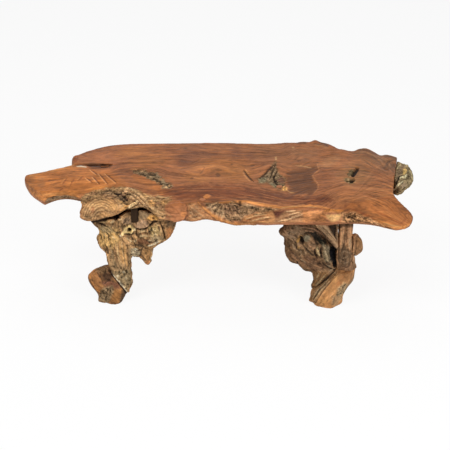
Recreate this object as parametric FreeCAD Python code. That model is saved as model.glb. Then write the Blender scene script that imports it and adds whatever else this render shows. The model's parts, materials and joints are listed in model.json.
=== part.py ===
"""Root coffee table: one thick live-edge slab carried by two gnarled root stumps.

The slab, its burl, the stumps, the feet, the post and the strut are separate pieces of root wood.
Each pair meets at a flat sawn seam, and turned dowels cross every seam.
X runs along the table, Y from its front to its back, and Z up from the floor.
The origin is on the floor, under the middle of the table.  All sizes are in millimetres.
"""
import FreeCAD, Part
import math
import os

from FreeCAD import Placement, Rotation, Vector

X_AXIS = Vector(1, 0, 0)
Y_AXIS = Vector(0, 1, 0)
Z_AXIS = Vector(0, 0, 1)

# Driving dimensions of the whole table.
table_length = 1460.0
table_depth = 722.0
table_height = 445.0
slab_thickness = 88.0
glue_gap = 0.3
cut_overrun = 40.0

underside_height = table_height - slab_thickness
far_reach = table_length + table_depth + table_height


def rounded_wire(points):
    """A closed smooth curve through the points, evenly paced so that lofts stay simple."""
    curve = Part.BSplineCurve()
    curve.interpolate(Points=points, PeriodicFlag=True, Parameters=list(range(len(points) + 1)))
    return Part.Wire(curve.toShape())


def smooth_loft(wires):
    """A closed solid that flows from wire to wire."""
    return Part.makeLoft(wires, True, False)


def block(low, high):
    """A straight box between two corners."""
    size = high - low
    return Part.makeBox(size.x, size.y, size.z, low)


def beyond(point, outward):
    """A block too large to see round, with one face on the plane through point, on the outward side."""
    corner = Vector(-far_reach, -far_reach, 0)
    cutter = Part.makeBox(2 * far_reach, 2 * far_reach, far_reach, corner)
    cutter.Placement = Placement(point, Rotation(Z_AXIS, outward))
    return cutter


def above(height):
    """Everything over a level plane."""
    return beyond(Vector(0, 0, height), Z_AXIS)


def below(height):
    """Everything under a level plane."""
    return beyond(Vector(0, 0, height), -Z_AXIS)


def sloping(angle):
    """A unit direction in the front view, turned up from +X by an angle in degrees."""
    return Vector(math.cos(math.radians(angle)), 0, math.sin(math.radians(angle)))


def cut_all(shape, cutters):
    """The largest solid left when every cutter has been taken from the shape."""
    for cutter in cutters:
        shape = shape.cut(cutter)
    return max(shape.Solids, key=lambda solid: solid.Volume)


def table_place(along, across, height=0.0):
    """A place given as shares of the table's length and depth, at a height."""
    return Vector(along * table_length, across * table_depth, height)


# Live-edge slab.
# Its outline is the root's own plan: a broad tongue at the left end, set off by a step and a split,
# a long front edge that swells to the right, a second tongue at the right front corner and a knobbly back.
# Each point is a share of the table's length and depth, going round from the left tip along the front.
SLAB_PLAN_SHARES = (
    (-0.501, 0.020), (-0.490, -0.049), (-0.469, -0.110), (-0.448, -0.155), (-0.417, -0.169),
    (-0.382, -0.172), (-0.354, -0.197), (-0.325, -0.221), (-0.290, -0.253), (-0.245, -0.286),
    (-0.189, -0.316), (-0.124, -0.338), (-0.064, -0.322), (-0.021, -0.313), (0.029, -0.352),
    (0.085, -0.379), (0.139, -0.386), (0.200, -0.387), (0.263, -0.396), (0.317, -0.421),
    (0.366, -0.462), (0.409, -0.498), (0.441, -0.472), (0.454, -0.408), (0.446, -0.327),
    (0.430, -0.226), (0.432, -0.127), (0.455, -0.027), (0.474, 0.125), (0.482, 0.221),
    (0.464, 0.296), (0.428, 0.349), (0.391, 0.393), (0.344, 0.374), (0.310, 0.402),
    (0.284, 0.478), (0.257, 0.499), (0.228, 0.479), (0.187, 0.488), (0.136, 0.475),
    (0.066, 0.477), (-0.001, 0.482), (-0.066, 0.479), (-0.135, 0.479), (-0.203, 0.477),
    (-0.272, 0.465), (-0.327, 0.418), (-0.367, 0.343), (-0.391, 0.271), (-0.397, 0.208),
    (-0.391, 0.155), (-0.408, 0.128), (-0.428, 0.113), (-0.458, 0.089), (-0.487, 0.060),
)
# The edge is fullest half way down and turns in above and below.
# Each level is a share of the slab's thickness below its top, with its inset from the plan.
EDGE_LEVEL_SHARES = ((-0.30, 0.05), (0.15, 0.02), (0.55, 0.00), (1.00, 0.28))

# The top is dished in the middle and rolls over at the front and at both tongues.
# Each row is a place along the table with the top's drops, in shares of the thickness, across it.
TOP_ACROSS_SHARES = (-0.60, -0.43, -0.29, -0.12, 0.10, 0.35, 0.60)
TOP_DROP_SHARES = (
    (-0.52, (1.30, 0.75, 0.42, 0.14, 0.03, 0.20, 0.50)),
    (-0.40, (1.10, 0.60, 0.34, 0.10, 0.02, 0.06, 0.16)),
    (-0.24, (1.10, 0.62, 0.38, 0.10, 0.02, 0.03, 0.06)),
    (-0.10, (0.60, 0.30, 0.14, 0.08, 0.05, 0.03, 0.05)),
    (0.03, (0.50, 0.24, 0.13, 0.13, 0.11, 0.05, 0.05)),
    (0.14, (0.45, 0.18, 0.14, 0.18, 0.14, 0.06, 0.05)),
    (0.25, (0.50, 0.22, 0.09, 0.05, 0.05, 0.04, 0.04)),
    (0.35, (0.60, 0.34, 0.13, 0.04, 0.04, 0.09, 0.20)),
    (0.43, (0.62, 0.42, 0.22, 0.07, 0.05, 0.16, 0.40)),
    (0.52, (0.72, 0.50, 0.32, 0.14, 0.10, 0.32, 0.60)),
)

# The underside is sawn flat where the stumps seat.  In front it is hollowed into shallow arches:
# under the tongue, over the tenon, in the middle, before the post and under the right corner.
# An arch has a middle and a half width (of the length), a rise at the front line (of the thickness)
# and a run over which it fades to nothing (of the depth).  The left stump's crown stands up in the second.
ARCH_FRONT_SHARE = -0.367
ARCH_SHARES = (
    (-0.384, 0.093, 0.89, 0.416),
    (-0.205, 0.062, 0.70, 0.277),
    (-0.034, 0.051, 0.19, 0.236),
    (0.312, 0.062, 0.12, 0.028),
    (0.420, 0.077, 0.24, 0.360),
)
arch_overrun = 160.0
TENON_ARCH = 1

# A split runs in from the step at the left end, between the slab's corner and the tongue.
SPLIT_PLACE_SHARES = (-0.338, 0.142)
split_length = 176.0
split_width = 22.0

# The skirt is the lobe of bark-side wood that hangs from the slab's front over the left stump.
SKIRT_PLACE_SHARES = (-0.2925, -0.233)
skirt_length = 170.0
skirt_depth = 110.0

# Two small knots in the top are filled with turned plugs.
knot_plug_radius = 11.0
knot_plug_depth = 32.0
KNOT_PLACE_SHARES = ((0.147, -0.102), (-0.046, -0.286))

# Root limbs are lofted through level rings.  A ring is a row of shares of the limb's own frame:
# its height, its middle along X and Y, and its half width and half depth.
# The skirt's and the burl's frames are as high as the slab is thick, and start at its underside.
SKIRT_RING_SHARES = (
    (-0.08, -0.15, -0.10, 0.18, 0.21),
    (0.00, -0.13, -0.11, 0.32, 0.34),
    (0.17, -0.08, -0.08, 0.42, 0.44),
    (0.47, -0.02, -0.04, 0.49, 0.48),
    (0.94, 0.02, 0.04, 0.51, 0.49),
)

# Burl: a rough lobe pegged against the slab's right edge.
BURL_PLACE_SHARES = (0.460, 0.078)
burl_width = 110.0
burl_length = 290.0
burl_seam_length = 330.0
burl_seam_inset = 11.0
burl_seam_angle = -11.3
BURL_RING_SHARES = (
    (0.12, -0.01, 0.01, 0.25, 0.34),
    (0.31, 0.08, 0.01, 0.41, 0.43),
    (0.58, 0.11, 0.02, 0.45, 0.47),
    (0.83, 0.09, 0.03, 0.35, 0.42),
)

# Both stumps are laid out in frames that stand on the floor and end at the slab's underside.
# They stand at shares of the table's length.
LEFT_STUMP_SHARE = -0.2103
RIGHT_STUMP_SHARE = 0.2555
stump_y = -20.0
stump_width = 400.0
stump_depth = 400.0

# Left stump: a front shin that swells into a broad mass, a rear shin and a hanging spur.
LEFT_BODY_RING_SHARES = (
    (0.101, -0.117, -0.333, 0.018, 0.062),
    (0.185, -0.142, -0.328, 0.058, 0.102),
    (0.308, -0.158, -0.325, 0.092, 0.115),
    (0.434, -0.172, -0.319, 0.102, 0.124),
    (0.546, -0.168, -0.295, 0.128, 0.140),
    (0.622, -0.098, -0.240, 0.233, 0.190),
    (0.695, -0.048, -0.165, 0.323, 0.265),
    (0.779, -0.022, -0.080, 0.343, 0.355),
    (0.863, -0.028, -0.044, 0.382, 0.394),
    (0.947, -0.035, -0.031, 0.415, 0.406),
    (1.060, -0.035, -0.025, 0.428, 0.404),
    (1.210, -0.035, -0.025, 0.420, 0.400),
)
LEFT_REAR_RING_SHARES = (
    (-0.056, -0.223, 0.320, 0.092, 0.110),
    (0.112, -0.220, 0.318, 0.085, 0.102),
    (0.364, -0.207, 0.305, 0.087, 0.110),
    (0.602, -0.180, 0.250, 0.105, 0.150),
    (0.812, -0.087, 0.163, 0.138, 0.188),
)
LEFT_SPUR_RING_SHARES = (
    (0.415, 0.089, -0.325, 0.012, 0.015),
    (0.452, 0.084, -0.325, 0.038, 0.040),
    (0.492, 0.062, -0.322, 0.066, 0.058),
    (0.522, 0.035, -0.320, 0.098, 0.072),
    (0.600, 0.035, -0.310, 0.110, 0.095),
    (0.700, 0.060, -0.292, 0.110, 0.120),
)
# Left foot: a squat block pegged to the shin along a slanting seam.
LEFT_FOOT_SEAM_SHARES = (0.279, -0.195)
left_foot_seam_angle = 33.4
LEFT_FOOT_RING_SHARES = (
    (-0.042, -0.265, -0.318, 0.095, 0.107),
    (0.022, -0.260, -0.320, 0.115, 0.120),
    (0.112, -0.250, -0.318, 0.164, 0.128),
    (0.210, -0.250, -0.312, 0.220, 0.133),
    (0.286, -0.260, -0.309, 0.210, 0.129),
    (0.334, -0.258, -0.305, 0.152, 0.110),
    (0.370, -0.250, -0.300, 0.060, 0.065),
)

# The front of the left stump stands clear of the slab: a crack shows between them, and a squared
# tenon crosses it.  The stump's crown follows the arch over it, with the same crack between the two.
CRACK_MIDDLE_SHARES = (-0.005, -0.230)
crack_half_length = 190.0
crack_least_gap = 7.0
crack_side_drop = 6.0
crown_gap = 10.0
TENON_PLACE_SHARES = (-0.015, -0.425)
tenon_width = 24.0
tenon_depth = 22.0
tenon_sink = 9.0
tenon_rise = 50.0

# Right stump: a lumpy mass with a sloping lower edge and a rear shin.
RIGHT_BODY_RING_SHARES = (
    (0.101, 0.033, -0.338, 0.068, 0.068),
    (0.168, 0.044, -0.325, 0.121, 0.110),
    (0.258, 0.052, -0.294, 0.122, 0.144),
    (0.336, 0.035, -0.223, 0.140, 0.207),
    (0.409, -0.032, -0.110, 0.203, 0.300),
    (0.482, -0.075, -0.048, 0.250, 0.347),
    (0.612, -0.090, 0.002, 0.250, 0.368),
    (0.730, -0.171, 0.007, 0.220, 0.378),
    (0.795, -0.171, 0.002, 0.220, 0.378),
    (0.860, -0.144, -0.003, 0.195, 0.374),
    (0.940, -0.138, -0.005, 0.189, 0.368),
    (1.025, -0.138, -0.005, 0.189, 0.360),
)
RIGHT_REAR_RING_SHARES = (
    (-0.056, 0.102, 0.315, 0.092, 0.110),
    (0.112, 0.095, 0.312, 0.090, 0.102),
    (0.280, 0.055, 0.292, 0.090, 0.113),
    (0.462, -0.015, 0.255, 0.095, 0.130),
    (0.700, -0.100, 0.188, 0.113, 0.163),
)
# Right foot: a leaning limb pegged under the mass along a slanting seam; the post stands on its flat top.
RIGHT_FOOT_SEAM_SHARES = (0.280, 0.035)
right_foot_seam_angle = -45.0
RIGHT_FOOT_RING_SHARES = (
    (-0.050, 0.058, -0.388, 0.107, 0.117),
    (0.017, 0.055, -0.388, 0.125, 0.128),
    (0.090, 0.060, -0.385, 0.155, 0.140),
    (0.174, 0.090, -0.378, 0.160, 0.147),
    (0.275, 0.134, -0.367, 0.159, 0.147),
    (0.370, 0.176, -0.357, 0.141, 0.138),
    (0.476, 0.207, -0.345, 0.122, 0.120),
)
# A rebate in the mass's front corner takes the strut along a slanting seam, with the post beside it.
REBATE_BACK_SHARE = -0.270
POST_FOOT_SHARE = 0.392
POST_SIDE_SHARE = 0.138
STRUT_SEAM_SHARES = (0.752, 0.032)
strut_seam_angle = 39.8
RIGHT_STRUT_RING_SHARES = (
    (0.611, 0.110, -0.345, 0.050, 0.060),
    (0.700, 0.090, -0.345, 0.085, 0.070),
    (0.812, 0.055, -0.347, 0.125, 0.072),
    (0.910, 0.020, -0.347, 0.160, 0.072),
    (1.036, -0.025, -0.347, 0.205, 0.068),
)
RIGHT_POST_RING_SHARES = (
    (0.350, 0.235, -0.350, 0.094, 0.092),
    (0.450, 0.232, -0.352, 0.092, 0.090),
    (0.574, 0.210, -0.355, 0.075, 0.080),
    (0.686, 0.204, -0.352, 0.066, 0.072),
    (0.868, 0.208, -0.350, 0.067, 0.070),
    (1.036, 0.208, -0.350, 0.072, 0.075),
)
RIGHT_KNOB_RING_SHARES = (
    (0.532, 0.292, -0.350, 0.022, 0.030),
    (0.571, 0.301, -0.352, 0.051, 0.058),
    (0.644, 0.305, -0.350, 0.065, 0.075),
    (0.717, 0.299, -0.350, 0.054, 0.060),
    (0.762, 0.287, -0.347, 0.022, 0.028),
)

# A ring's radii at even steps round from +X, so that no ring is a plain oval.
# The stumps are broadest along their fronts, the slim limbs are faceted, and the burl thins to its back.
LEFT_LOBE_SHARES = (0.98, 0.90, 0.98, 0.97, 0.91, 0.99, 1.19, 1.03, 1.05, 1.18)
RIGHT_LOBE_SHARES = (0.98, 0.90, 0.98, 0.97, 0.84, 0.86, 1.19, 1.03, 1.05, 1.18)
SLIM_LOBE_SHARES = (1.00, 1.04, 0.92, 1.03, 0.95, 1.00, 1.05, 0.93, 1.06, 0.93)
BURL_LOBE_SHARES = (0.90, 1.08, 1.02, 0.96, 0.96, 1.00, 0.96, 0.90, 0.80, 0.74)

# Turned dowels cross every seam, half in each piece.
# Under the slab a place is a share of its stump's frame along X and Y; in a slanting seam, only along Y.
dowel_radius = 9.0
dowel_length = 64.0
LEFT_TOP_DOWEL_SHARES = ((-0.190, 0.190), (0.210, 0.080))
RIGHT_TOP_DOWEL_SHARES = ((-0.210, 0.200), (-0.050, 0.000))
POST_DOWEL_SHARES = (0.203, -0.350)
STRUT_DOWEL_SHARES = (-0.035, -0.347)
LEFT_FOOT_DOWEL_SHARES = (-0.370, -0.280)
RIGHT_FOOT_DOWEL_SHARES = (-0.365, -0.280)
BURL_DOWEL_SHARES = (-0.180, 0.180)


class LimbFrame:
    """The box a limb is laid out in.  Places in it are shares of its height, width and depth."""

    def __init__(self, middle, width, depth, height):
        self.middle = middle
        self.width = width
        self.depth = depth
        self.height = height

    def place(self, height, along, across):
        """The point at shares of the height, the width and the depth."""
        return self.middle + Vector(along * self.width, across * self.depth, height * self.height)

    def ring(self, ring_share, lobe_shares):
        """A smooth level wire: the lobes set out round the ring's middle."""
        height, along, across, half_width, half_depth = ring_share
        middle = self.place(height, along, across)
        points = []
        for step, lobe in enumerate(lobe_shares):
            turn = 2 * math.pi * step / len(lobe_shares)
            out_x = half_width * self.width * math.cos(turn)
            out_y = half_depth * self.depth * math.sin(turn)
            points.append(middle + Vector(out_x, out_y, 0) * lobe)
        return rounded_wire(points)

    def limb(self, ring_shares, lobe_shares):
        """A solid limb lofted through its rings."""
        return smooth_loft([self.ring(ring_share, lobe_shares) for ring_share in ring_shares])


left_stump_x = LEFT_STUMP_SHARE * table_length
right_stump_x = RIGHT_STUMP_SHARE * table_length
left_frame = LimbFrame(Vector(left_stump_x, stump_y, 0), stump_width, stump_depth, underside_height)
right_frame = LimbFrame(Vector(right_stump_x, stump_y, 0), stump_width, stump_depth, underside_height)
skirt_frame = LimbFrame(
    table_place(*SKIRT_PLACE_SHARES, underside_height), skirt_length, skirt_depth, slab_thickness
)
burl_frame = LimbFrame(
    table_place(*BURL_PLACE_SHARES, underside_height), burl_width, burl_length, slab_thickness
)

# The seams that slant: a point on each and the direction it faces.
left_foot_seam = left_frame.place(*LEFT_FOOT_SEAM_SHARES, 0)
left_foot_normal = sloping(left_foot_seam_angle)
right_foot_seam = right_frame.place(*RIGHT_FOOT_SEAM_SHARES, 0)
right_foot_normal = sloping(right_foot_seam_angle)
strut_seam = right_frame.place(*STRUT_SEAM_SHARES, 0)
strut_normal = sloping(strut_seam_angle)
burl_turn = Rotation(Z_AXIS, burl_seam_angle)
burl_normal = burl_turn.multVec(X_AXIS)
burl_seam = burl_frame.place(0.5, 0, 0) - burl_normal * burl_seam_inset

post_foot_height = POST_FOOT_SHARE * underside_height
post_side_x = right_stump_x + POST_SIDE_SHARE * stump_width
rebate_back_y = stump_y + REBATE_BACK_SHARE * stump_depth


def seam_dowels(seam, normal, across_shares):
    """Dowels square to a slanting seam, set out along it from front to back."""
    places = [Vector(seam.x, stump_y + across * stump_depth, seam.z) for across in across_shares]
    return [(place, normal) for place in places]


def dowel_places():
    """Every dowel's name, middle and direction."""
    post_top = right_frame.place(1, *POST_DOWEL_SHARES)
    groups = {
        "left_top_dowel": [(left_frame.place(1, *share), Z_AXIS) for share in LEFT_TOP_DOWEL_SHARES],
        "right_top_dowel": [(right_frame.place(1, *share), Z_AXIS) for share in RIGHT_TOP_DOWEL_SHARES],
        "post_dowel": [(post_top, Z_AXIS), (Vector(post_top.x, post_top.y, post_foot_height), Z_AXIS)],
        "strut_dowel": [(right_frame.place(1, *STRUT_DOWEL_SHARES), Z_AXIS)],
        "left_foot_dowel": seam_dowels(left_foot_seam, left_foot_normal, LEFT_FOOT_DOWEL_SHARES),
        "right_foot_dowel": seam_dowels(right_foot_seam, right_foot_normal, RIGHT_FOOT_DOWEL_SHARES),
        "burl_dowel": [
            (burl_seam + burl_turn.multVec(Y_AXIS) * share * burl_length, burl_normal)
            for share in BURL_DOWEL_SHARES
        ],
    }
    places = {}
    for name, group in groups.items():
        for number, place in enumerate(group, 1):
            places[f"{name}_{number}"] = place
    return places


def dowel(middle, along, slack=0.0):
    """A dowel centred on its seam; with slack, the bore that takes it."""
    reach = along * (dowel_length / 2 + slack)
    return Part.makeCylinder(dowel_radius + slack, 2 * reach.Length, middle - reach, along)


def bores(*names):
    """The bores of the named groups of dowels."""
    return [dowel(*place, glue_gap) for name, place in dowel_places().items() if name[:-2] in names]


def inset_plan(inset):
    """The plan's points, moved inwards along the outline's own normals."""
    plan = [table_place(along, across) for along, across in SLAB_PLAN_SHARES]
    moved = []
    for index, point in enumerate(plan):
        run = (plan[(index + 1) % len(plan)] - plan[index - 1]).normalize()
        moved.append(point + Vector(-run.y, run.x, 0) * inset)
    return moved


def slab_blank():
    """The slab before its faces are carved: the plan carried down through the edge's levels."""
    wires = []
    for level, inset in EDGE_LEVEL_SHARES:
        lift = Vector(0, 0, table_height - level * slab_thickness)
        wires.append(rounded_wire([point + lift for point in inset_plan(inset * slab_thickness)]))
    return smooth_loft(wires)


def air_above_top():
    """Everything above the slab's carved top, as one lofted cutter."""
    ceiling = table_height + slab_thickness
    wires = []
    for along, drops in TOP_DROP_SHARES:
        places = [
            table_place(along, across, table_height - drop * slab_thickness)
            for across, drop in zip(TOP_ACROSS_SHARES, drops)
        ]
        face_line = Part.BSplineCurve()
        face_line.interpolate(Points=places, Parameters=list(range(len(places))))
        front_corner = Vector(places[0].x, places[0].y, ceiling)
        back_corner = Vector(places[-1].x, places[-1].y, ceiling)
        wires.append(Part.Wire([
            face_line.toShape(),
            Part.makeLine(places[-1], back_corner),
            Part.makeLine(back_corner, front_corner),
            Part.makeLine(front_corner, places[0]),
        ]))
    return smooth_loft(wires)


def underside_arch(along, half_share, rise_share, fade_share):
    """A leaning round cutter whose crown climbs by its rise at the front line and fades out behind it."""
    rise = rise_share * slab_thickness
    lean = Vector(0, fade_share * table_depth, -rise)
    radius = ((half_share * table_length) ** 2 + rise ** 2) / (2 * rise)
    overrun_share = arch_overrun / lean.y
    front_middle = table_place(along, ARCH_FRONT_SHARE, underside_height + rise - radius)
    disc = Part.Face(Part.Wire(Part.makeCircle(radius, front_middle - lean * overrun_share, Y_AXIS)))
    return disc.extrude(lean * (1 + overrun_share))


def end_split():
    """A lens-shaped through cut, widest in its middle."""
    middle = table_place(*SPLIT_PLACE_SHARES, underside_height - cut_overrun)
    half_run = Vector(split_length / 2, 0, 0)
    half_gap = Vector(0, split_width / 2, 0)
    front = Part.Arc(middle - half_run, middle - half_gap, middle + half_run).toShape()
    back = Part.Arc(middle + half_run, middle + half_gap, middle - half_run).toShape()
    lens = Part.Face(Part.Wire([front, back]))
    return lens.extrude(Vector(0, 0, slab_thickness + 2 * cut_overrun))


def knot_cylinder(place_share, slack=0.0):
    """A knot's plug, tall enough to stand through the top; with slack, its socket."""
    foot = table_place(*place_share, table_height - knot_plug_depth - slack)
    return Part.makeCylinder(knot_plug_radius + slack, 2 * knot_plug_depth, foot)


def tenon(slack=0.0):
    """The squared tenon that shows in the crack; with slack, its mortises."""
    middle = left_frame.place(1, *TENON_PLACE_SHARES)
    half = Vector(tenon_width / 2 + slack, tenon_depth / 2 + slack, 0)
    drop = Vector(0, 0, crack_least_gap + tenon_sink + slack)
    return block(middle - half - drop, middle + half + Vector(0, 0, tenon_rise + slack))


def crown_room():
    """The space in the slab's arch that the left stump's crown may fill, less the crack over it."""
    lowered = underside_arch(*ARCH_SHARES[TENON_ARCH])
    lowered.translate(Vector(0, 0, -crown_gap))
    return lowered


def crack():
    """The wedge of air over the front of the left stump, round its crown."""
    middle = left_frame.place(1, *CRACK_MIDDLE_SHARES) - Vector(0, 0, crack_least_gap)
    left_end = middle - Vector(crack_half_length, 0, crack_side_drop)
    right_end = middle + Vector(crack_half_length, 0, -crack_side_drop)
    rise = Vector(0, 0, slab_thickness)
    outline = [left_end, middle, right_end, right_end + rise, left_end + rise, left_end]
    return Part.Face(Part.makePolygon(outline)).extrude(Vector(0, -stump_depth, 0)).cut(crown_room())


def burl_side_air(side, gap):
    """The space on the burl's side (+1) or the slab's side (-1) of their seam, as long as the seam."""
    corner = Vector(gap, -burl_seam_length / 2, 0)
    cutter = Part.makeBox(burl_width, burl_seam_length, far_reach, corner)
    turn = burl_seam_angle if side > 0 else burl_seam_angle + 180
    cutter.Placement = Placement(Vector(burl_seam.x, burl_seam.y, 0), Rotation(Z_AXIS, turn))
    return cutter


def make_top_slab():
    """The slab with its skirt, hollowed, split, and cut for the burl, the plugs, the tenon and the dowels."""
    carved = cut_all(slab_blank(), [underside_arch(*shares) for shares in ARCH_SHARES])
    with_skirt = carved.fuse(skirt_frame.limb(SKIRT_RING_SHARES, SLIM_LOBE_SHARES))
    sockets = [knot_cylinder(share, glue_gap) for share in KNOT_PLACE_SHARES]
    cuts = [air_above_top(), above(table_height), end_split(), tenon(glue_gap), *sockets]
    cuts.append(burl_side_air(1, -glue_gap / 2))
    dowel_cuts = bores("left_top_dowel", "right_top_dowel", "post_dowel", "strut_dowel", "burl_dowel")
    return cut_all(with_skirt, cuts + dowel_cuts)


def make_right_burl():
    """The burl, sawn flat against the slab."""
    rough = burl_frame.limb(BURL_RING_SHARES, BURL_LOBE_SHARES)
    return cut_all(rough, [burl_side_air(-1, -glue_gap / 2), *bores("burl_dowel")])


def make_left_stump():
    """The left stump with its two shins and its spur."""
    body = left_frame.limb(LEFT_BODY_RING_SHARES, LEFT_LOBE_SHARES)
    body = body.cut(beyond(left_foot_seam, -left_foot_normal))
    body = body.fuse(left_frame.limb(LEFT_REAR_RING_SHARES, SLIM_LOBE_SHARES))
    body = body.fuse(left_frame.limb(LEFT_SPUR_RING_SHARES, SLIM_LOBE_SHARES))
    cuts = [above(underside_height - glue_gap).cut(crown_room()), crack(), below(0), tenon(glue_gap)]
    return cut_all(body, cuts + bores("left_top_dowel", "left_foot_dowel"))


def make_left_foot():
    """The left foot, sawn to the shin and flat on the floor."""
    rough = left_frame.limb(LEFT_FOOT_RING_SHARES, SLIM_LOBE_SHARES)
    seam_face = left_foot_seam - left_foot_normal * glue_gap
    return cut_all(rough, [beyond(seam_face, left_foot_normal), below(0), *bores("left_foot_dowel")])


def rebate():
    """The space that the strut and the post take from the right stump's front corner."""
    strut_room = beyond(strut_seam, strut_normal)
    post_room = beyond(Vector(post_side_x, 0, 0), X_AXIS)
    return strut_room.fuse(post_room).cut(beyond(Vector(0, rebate_back_y, 0), Y_AXIS))


def make_right_stump():
    """The right stump with its rear shin."""
    body = right_frame.limb(RIGHT_BODY_RING_SHARES, RIGHT_LOBE_SHARES)
    body = body.cut(beyond(right_foot_seam, right_foot_normal)).cut(rebate())
    body = body.fuse(right_frame.limb(RIGHT_REAR_RING_SHARES, SLIM_LOBE_SHARES))
    cuts = [above(underside_height - glue_gap), below(0)]
    return cut_all(body, cuts + bores("right_top_dowel", "right_foot_dowel"))


def rebate_fit(shape):
    """The shape trimmed to clear the slab over it and the stump behind it."""
    back_face = Vector(0, rebate_back_y - glue_gap, 0)
    return cut_all(shape, [above(underside_height - glue_gap), beyond(back_face, Y_AXIS)])


def make_right_post():
    """The post with the knob on its side, standing on the right foot."""
    rough = right_frame.limb(RIGHT_POST_RING_SHARES, SLIM_LOBE_SHARES)
    rough = rough.fuse(right_frame.limb(RIGHT_KNOB_RING_SHARES, SLIM_LOBE_SHARES))
    inner_face = Vector(post_side_x + glue_gap, 0, 0)
    cuts = [below(post_foot_height + glue_gap), beyond(inner_face, -X_AXIS)]
    return cut_all(rebate_fit(rough), cuts + bores("post_dowel"))


def make_right_strut():
    """The leaning strut, bedded on the stump's slanting seam."""
    rough = right_frame.limb(RIGHT_STRUT_RING_SHARES, SLIM_LOBE_SHARES)
    seam_face = strut_seam + strut_normal * glue_gap
    cuts = [beyond(seam_face, -strut_normal), beyond(Vector(post_side_x, 0, 0), X_AXIS)]
    return cut_all(rebate_fit(rough), cuts + bores("strut_dowel"))


def make_right_foot():
    """The right foot, sawn to the stump and flat under the post and on the floor."""
    rough = right_frame.limb(RIGHT_FOOT_RING_SHARES, SLIM_LOBE_SHARES)
    seam_face = right_foot_seam + right_foot_normal * glue_gap
    cuts = [beyond(seam_face, -right_foot_normal), above(post_foot_height), below(0)]
    return cut_all(rough, cuts + bores("right_foot_dowel", "post_dowel"))


def make_knot_plug(place_share):
    """One plug, carved flush with the top."""
    return cut_all(knot_cylinder(place_share), [air_above_top()])


if __name__ == "__main__":
    pieces = {
        "top_slab": make_top_slab(),
        "right_burl": make_right_burl(),
        "left_stump": make_left_stump(),
        "left_foot": make_left_foot(),
        "stump_tenon": tenon(),
        "right_stump": make_right_stump(),
        "right_post": make_right_post(),
        "right_strut": make_right_strut(),
        "right_foot": make_right_foot(),
    }
    for number, share in enumerate(KNOT_PLACE_SHARES, 1):
        pieces[f"knot_plug_{number}"] = make_knot_plug(share)
    for name, place in dowel_places().items():
        pieces[name] = dowel(*place)
    os.makedirs("parts", exist_ok=True)
    for name, piece in pieces.items():
        piece.exportStep(f"parts/{name}.step")
        print(name, "valid" if piece.isValid() else "NOT VALID", round(piece.Volume))
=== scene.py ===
"""Looks of the root coffee table: a polished live-edge slab on two weathered root stumps.

Each wooden piece is its solid's own skin, carved and stained from a drawing of the table.
Places on the drawing are in its own units, across and down from its top left corner, 450 each way.
"""

import itertools
import json
import math

import bpy
import numpy as np
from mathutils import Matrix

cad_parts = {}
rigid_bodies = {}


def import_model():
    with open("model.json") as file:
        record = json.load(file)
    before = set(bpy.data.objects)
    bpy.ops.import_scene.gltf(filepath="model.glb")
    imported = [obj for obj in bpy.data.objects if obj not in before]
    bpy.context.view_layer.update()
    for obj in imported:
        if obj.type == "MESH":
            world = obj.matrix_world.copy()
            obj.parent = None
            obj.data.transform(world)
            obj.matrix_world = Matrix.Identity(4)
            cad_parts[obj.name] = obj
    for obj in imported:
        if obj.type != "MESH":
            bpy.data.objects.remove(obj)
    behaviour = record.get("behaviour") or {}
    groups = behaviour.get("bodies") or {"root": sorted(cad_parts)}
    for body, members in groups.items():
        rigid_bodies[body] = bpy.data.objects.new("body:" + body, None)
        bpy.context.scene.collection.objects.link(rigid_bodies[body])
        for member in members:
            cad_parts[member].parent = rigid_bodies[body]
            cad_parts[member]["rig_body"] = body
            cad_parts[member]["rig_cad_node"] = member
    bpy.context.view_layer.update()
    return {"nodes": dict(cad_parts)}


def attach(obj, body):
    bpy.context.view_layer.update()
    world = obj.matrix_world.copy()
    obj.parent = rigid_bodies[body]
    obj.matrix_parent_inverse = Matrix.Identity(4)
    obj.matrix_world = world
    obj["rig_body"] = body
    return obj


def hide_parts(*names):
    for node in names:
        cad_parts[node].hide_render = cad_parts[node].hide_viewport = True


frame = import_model()
nodes = frame["nodes"]


# Viewpoint.
# The table is seen square on from its front and a little from above, through a long lens.
# The drawing that guides the carving is the table as seen from here.
drawing_size = 450
view_drop = math.radians(25)
view_distance = 4.2
aim = np.array((-0.008, 0.047, 0.222))
aim_on_drawing = (219, 223.5)
lens_length = 86.91
sensor_width = 36
focal_length = drawing_size * lens_length / sensor_width
drawing_scale = focal_length / view_distance
sight = np.array((0, math.cos(view_drop), -math.sin(view_drop)))
upward = np.array((0, math.sin(view_drop), math.cos(view_drop)))


def on_drawing(places):
    """Where the drawing shows each place, across and down, and how far off it is."""
    offset = places - aim
    far = view_distance + offset @ sight
    size = focal_length / far
    return aim_on_drawing[0] + offset[:, 0] * size, aim_on_drawing[1] - (offset @ upward) * size, far


bpy.ops.object.camera_add(location=aim - sight * view_distance, rotation=(math.pi / 2 - view_drop, 0, 0))
camera = bpy.context.object
camera.name = "viewpoint"
camera.data.lens = lens_length
camera.data.sensor_width = sensor_width
camera.data.shift_x = 0.5 - aim_on_drawing[0] / drawing_size
camera.data.shift_y = aim_on_drawing[1] / drawing_size - 0.5
bpy.context.scene.camera = camera


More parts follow.
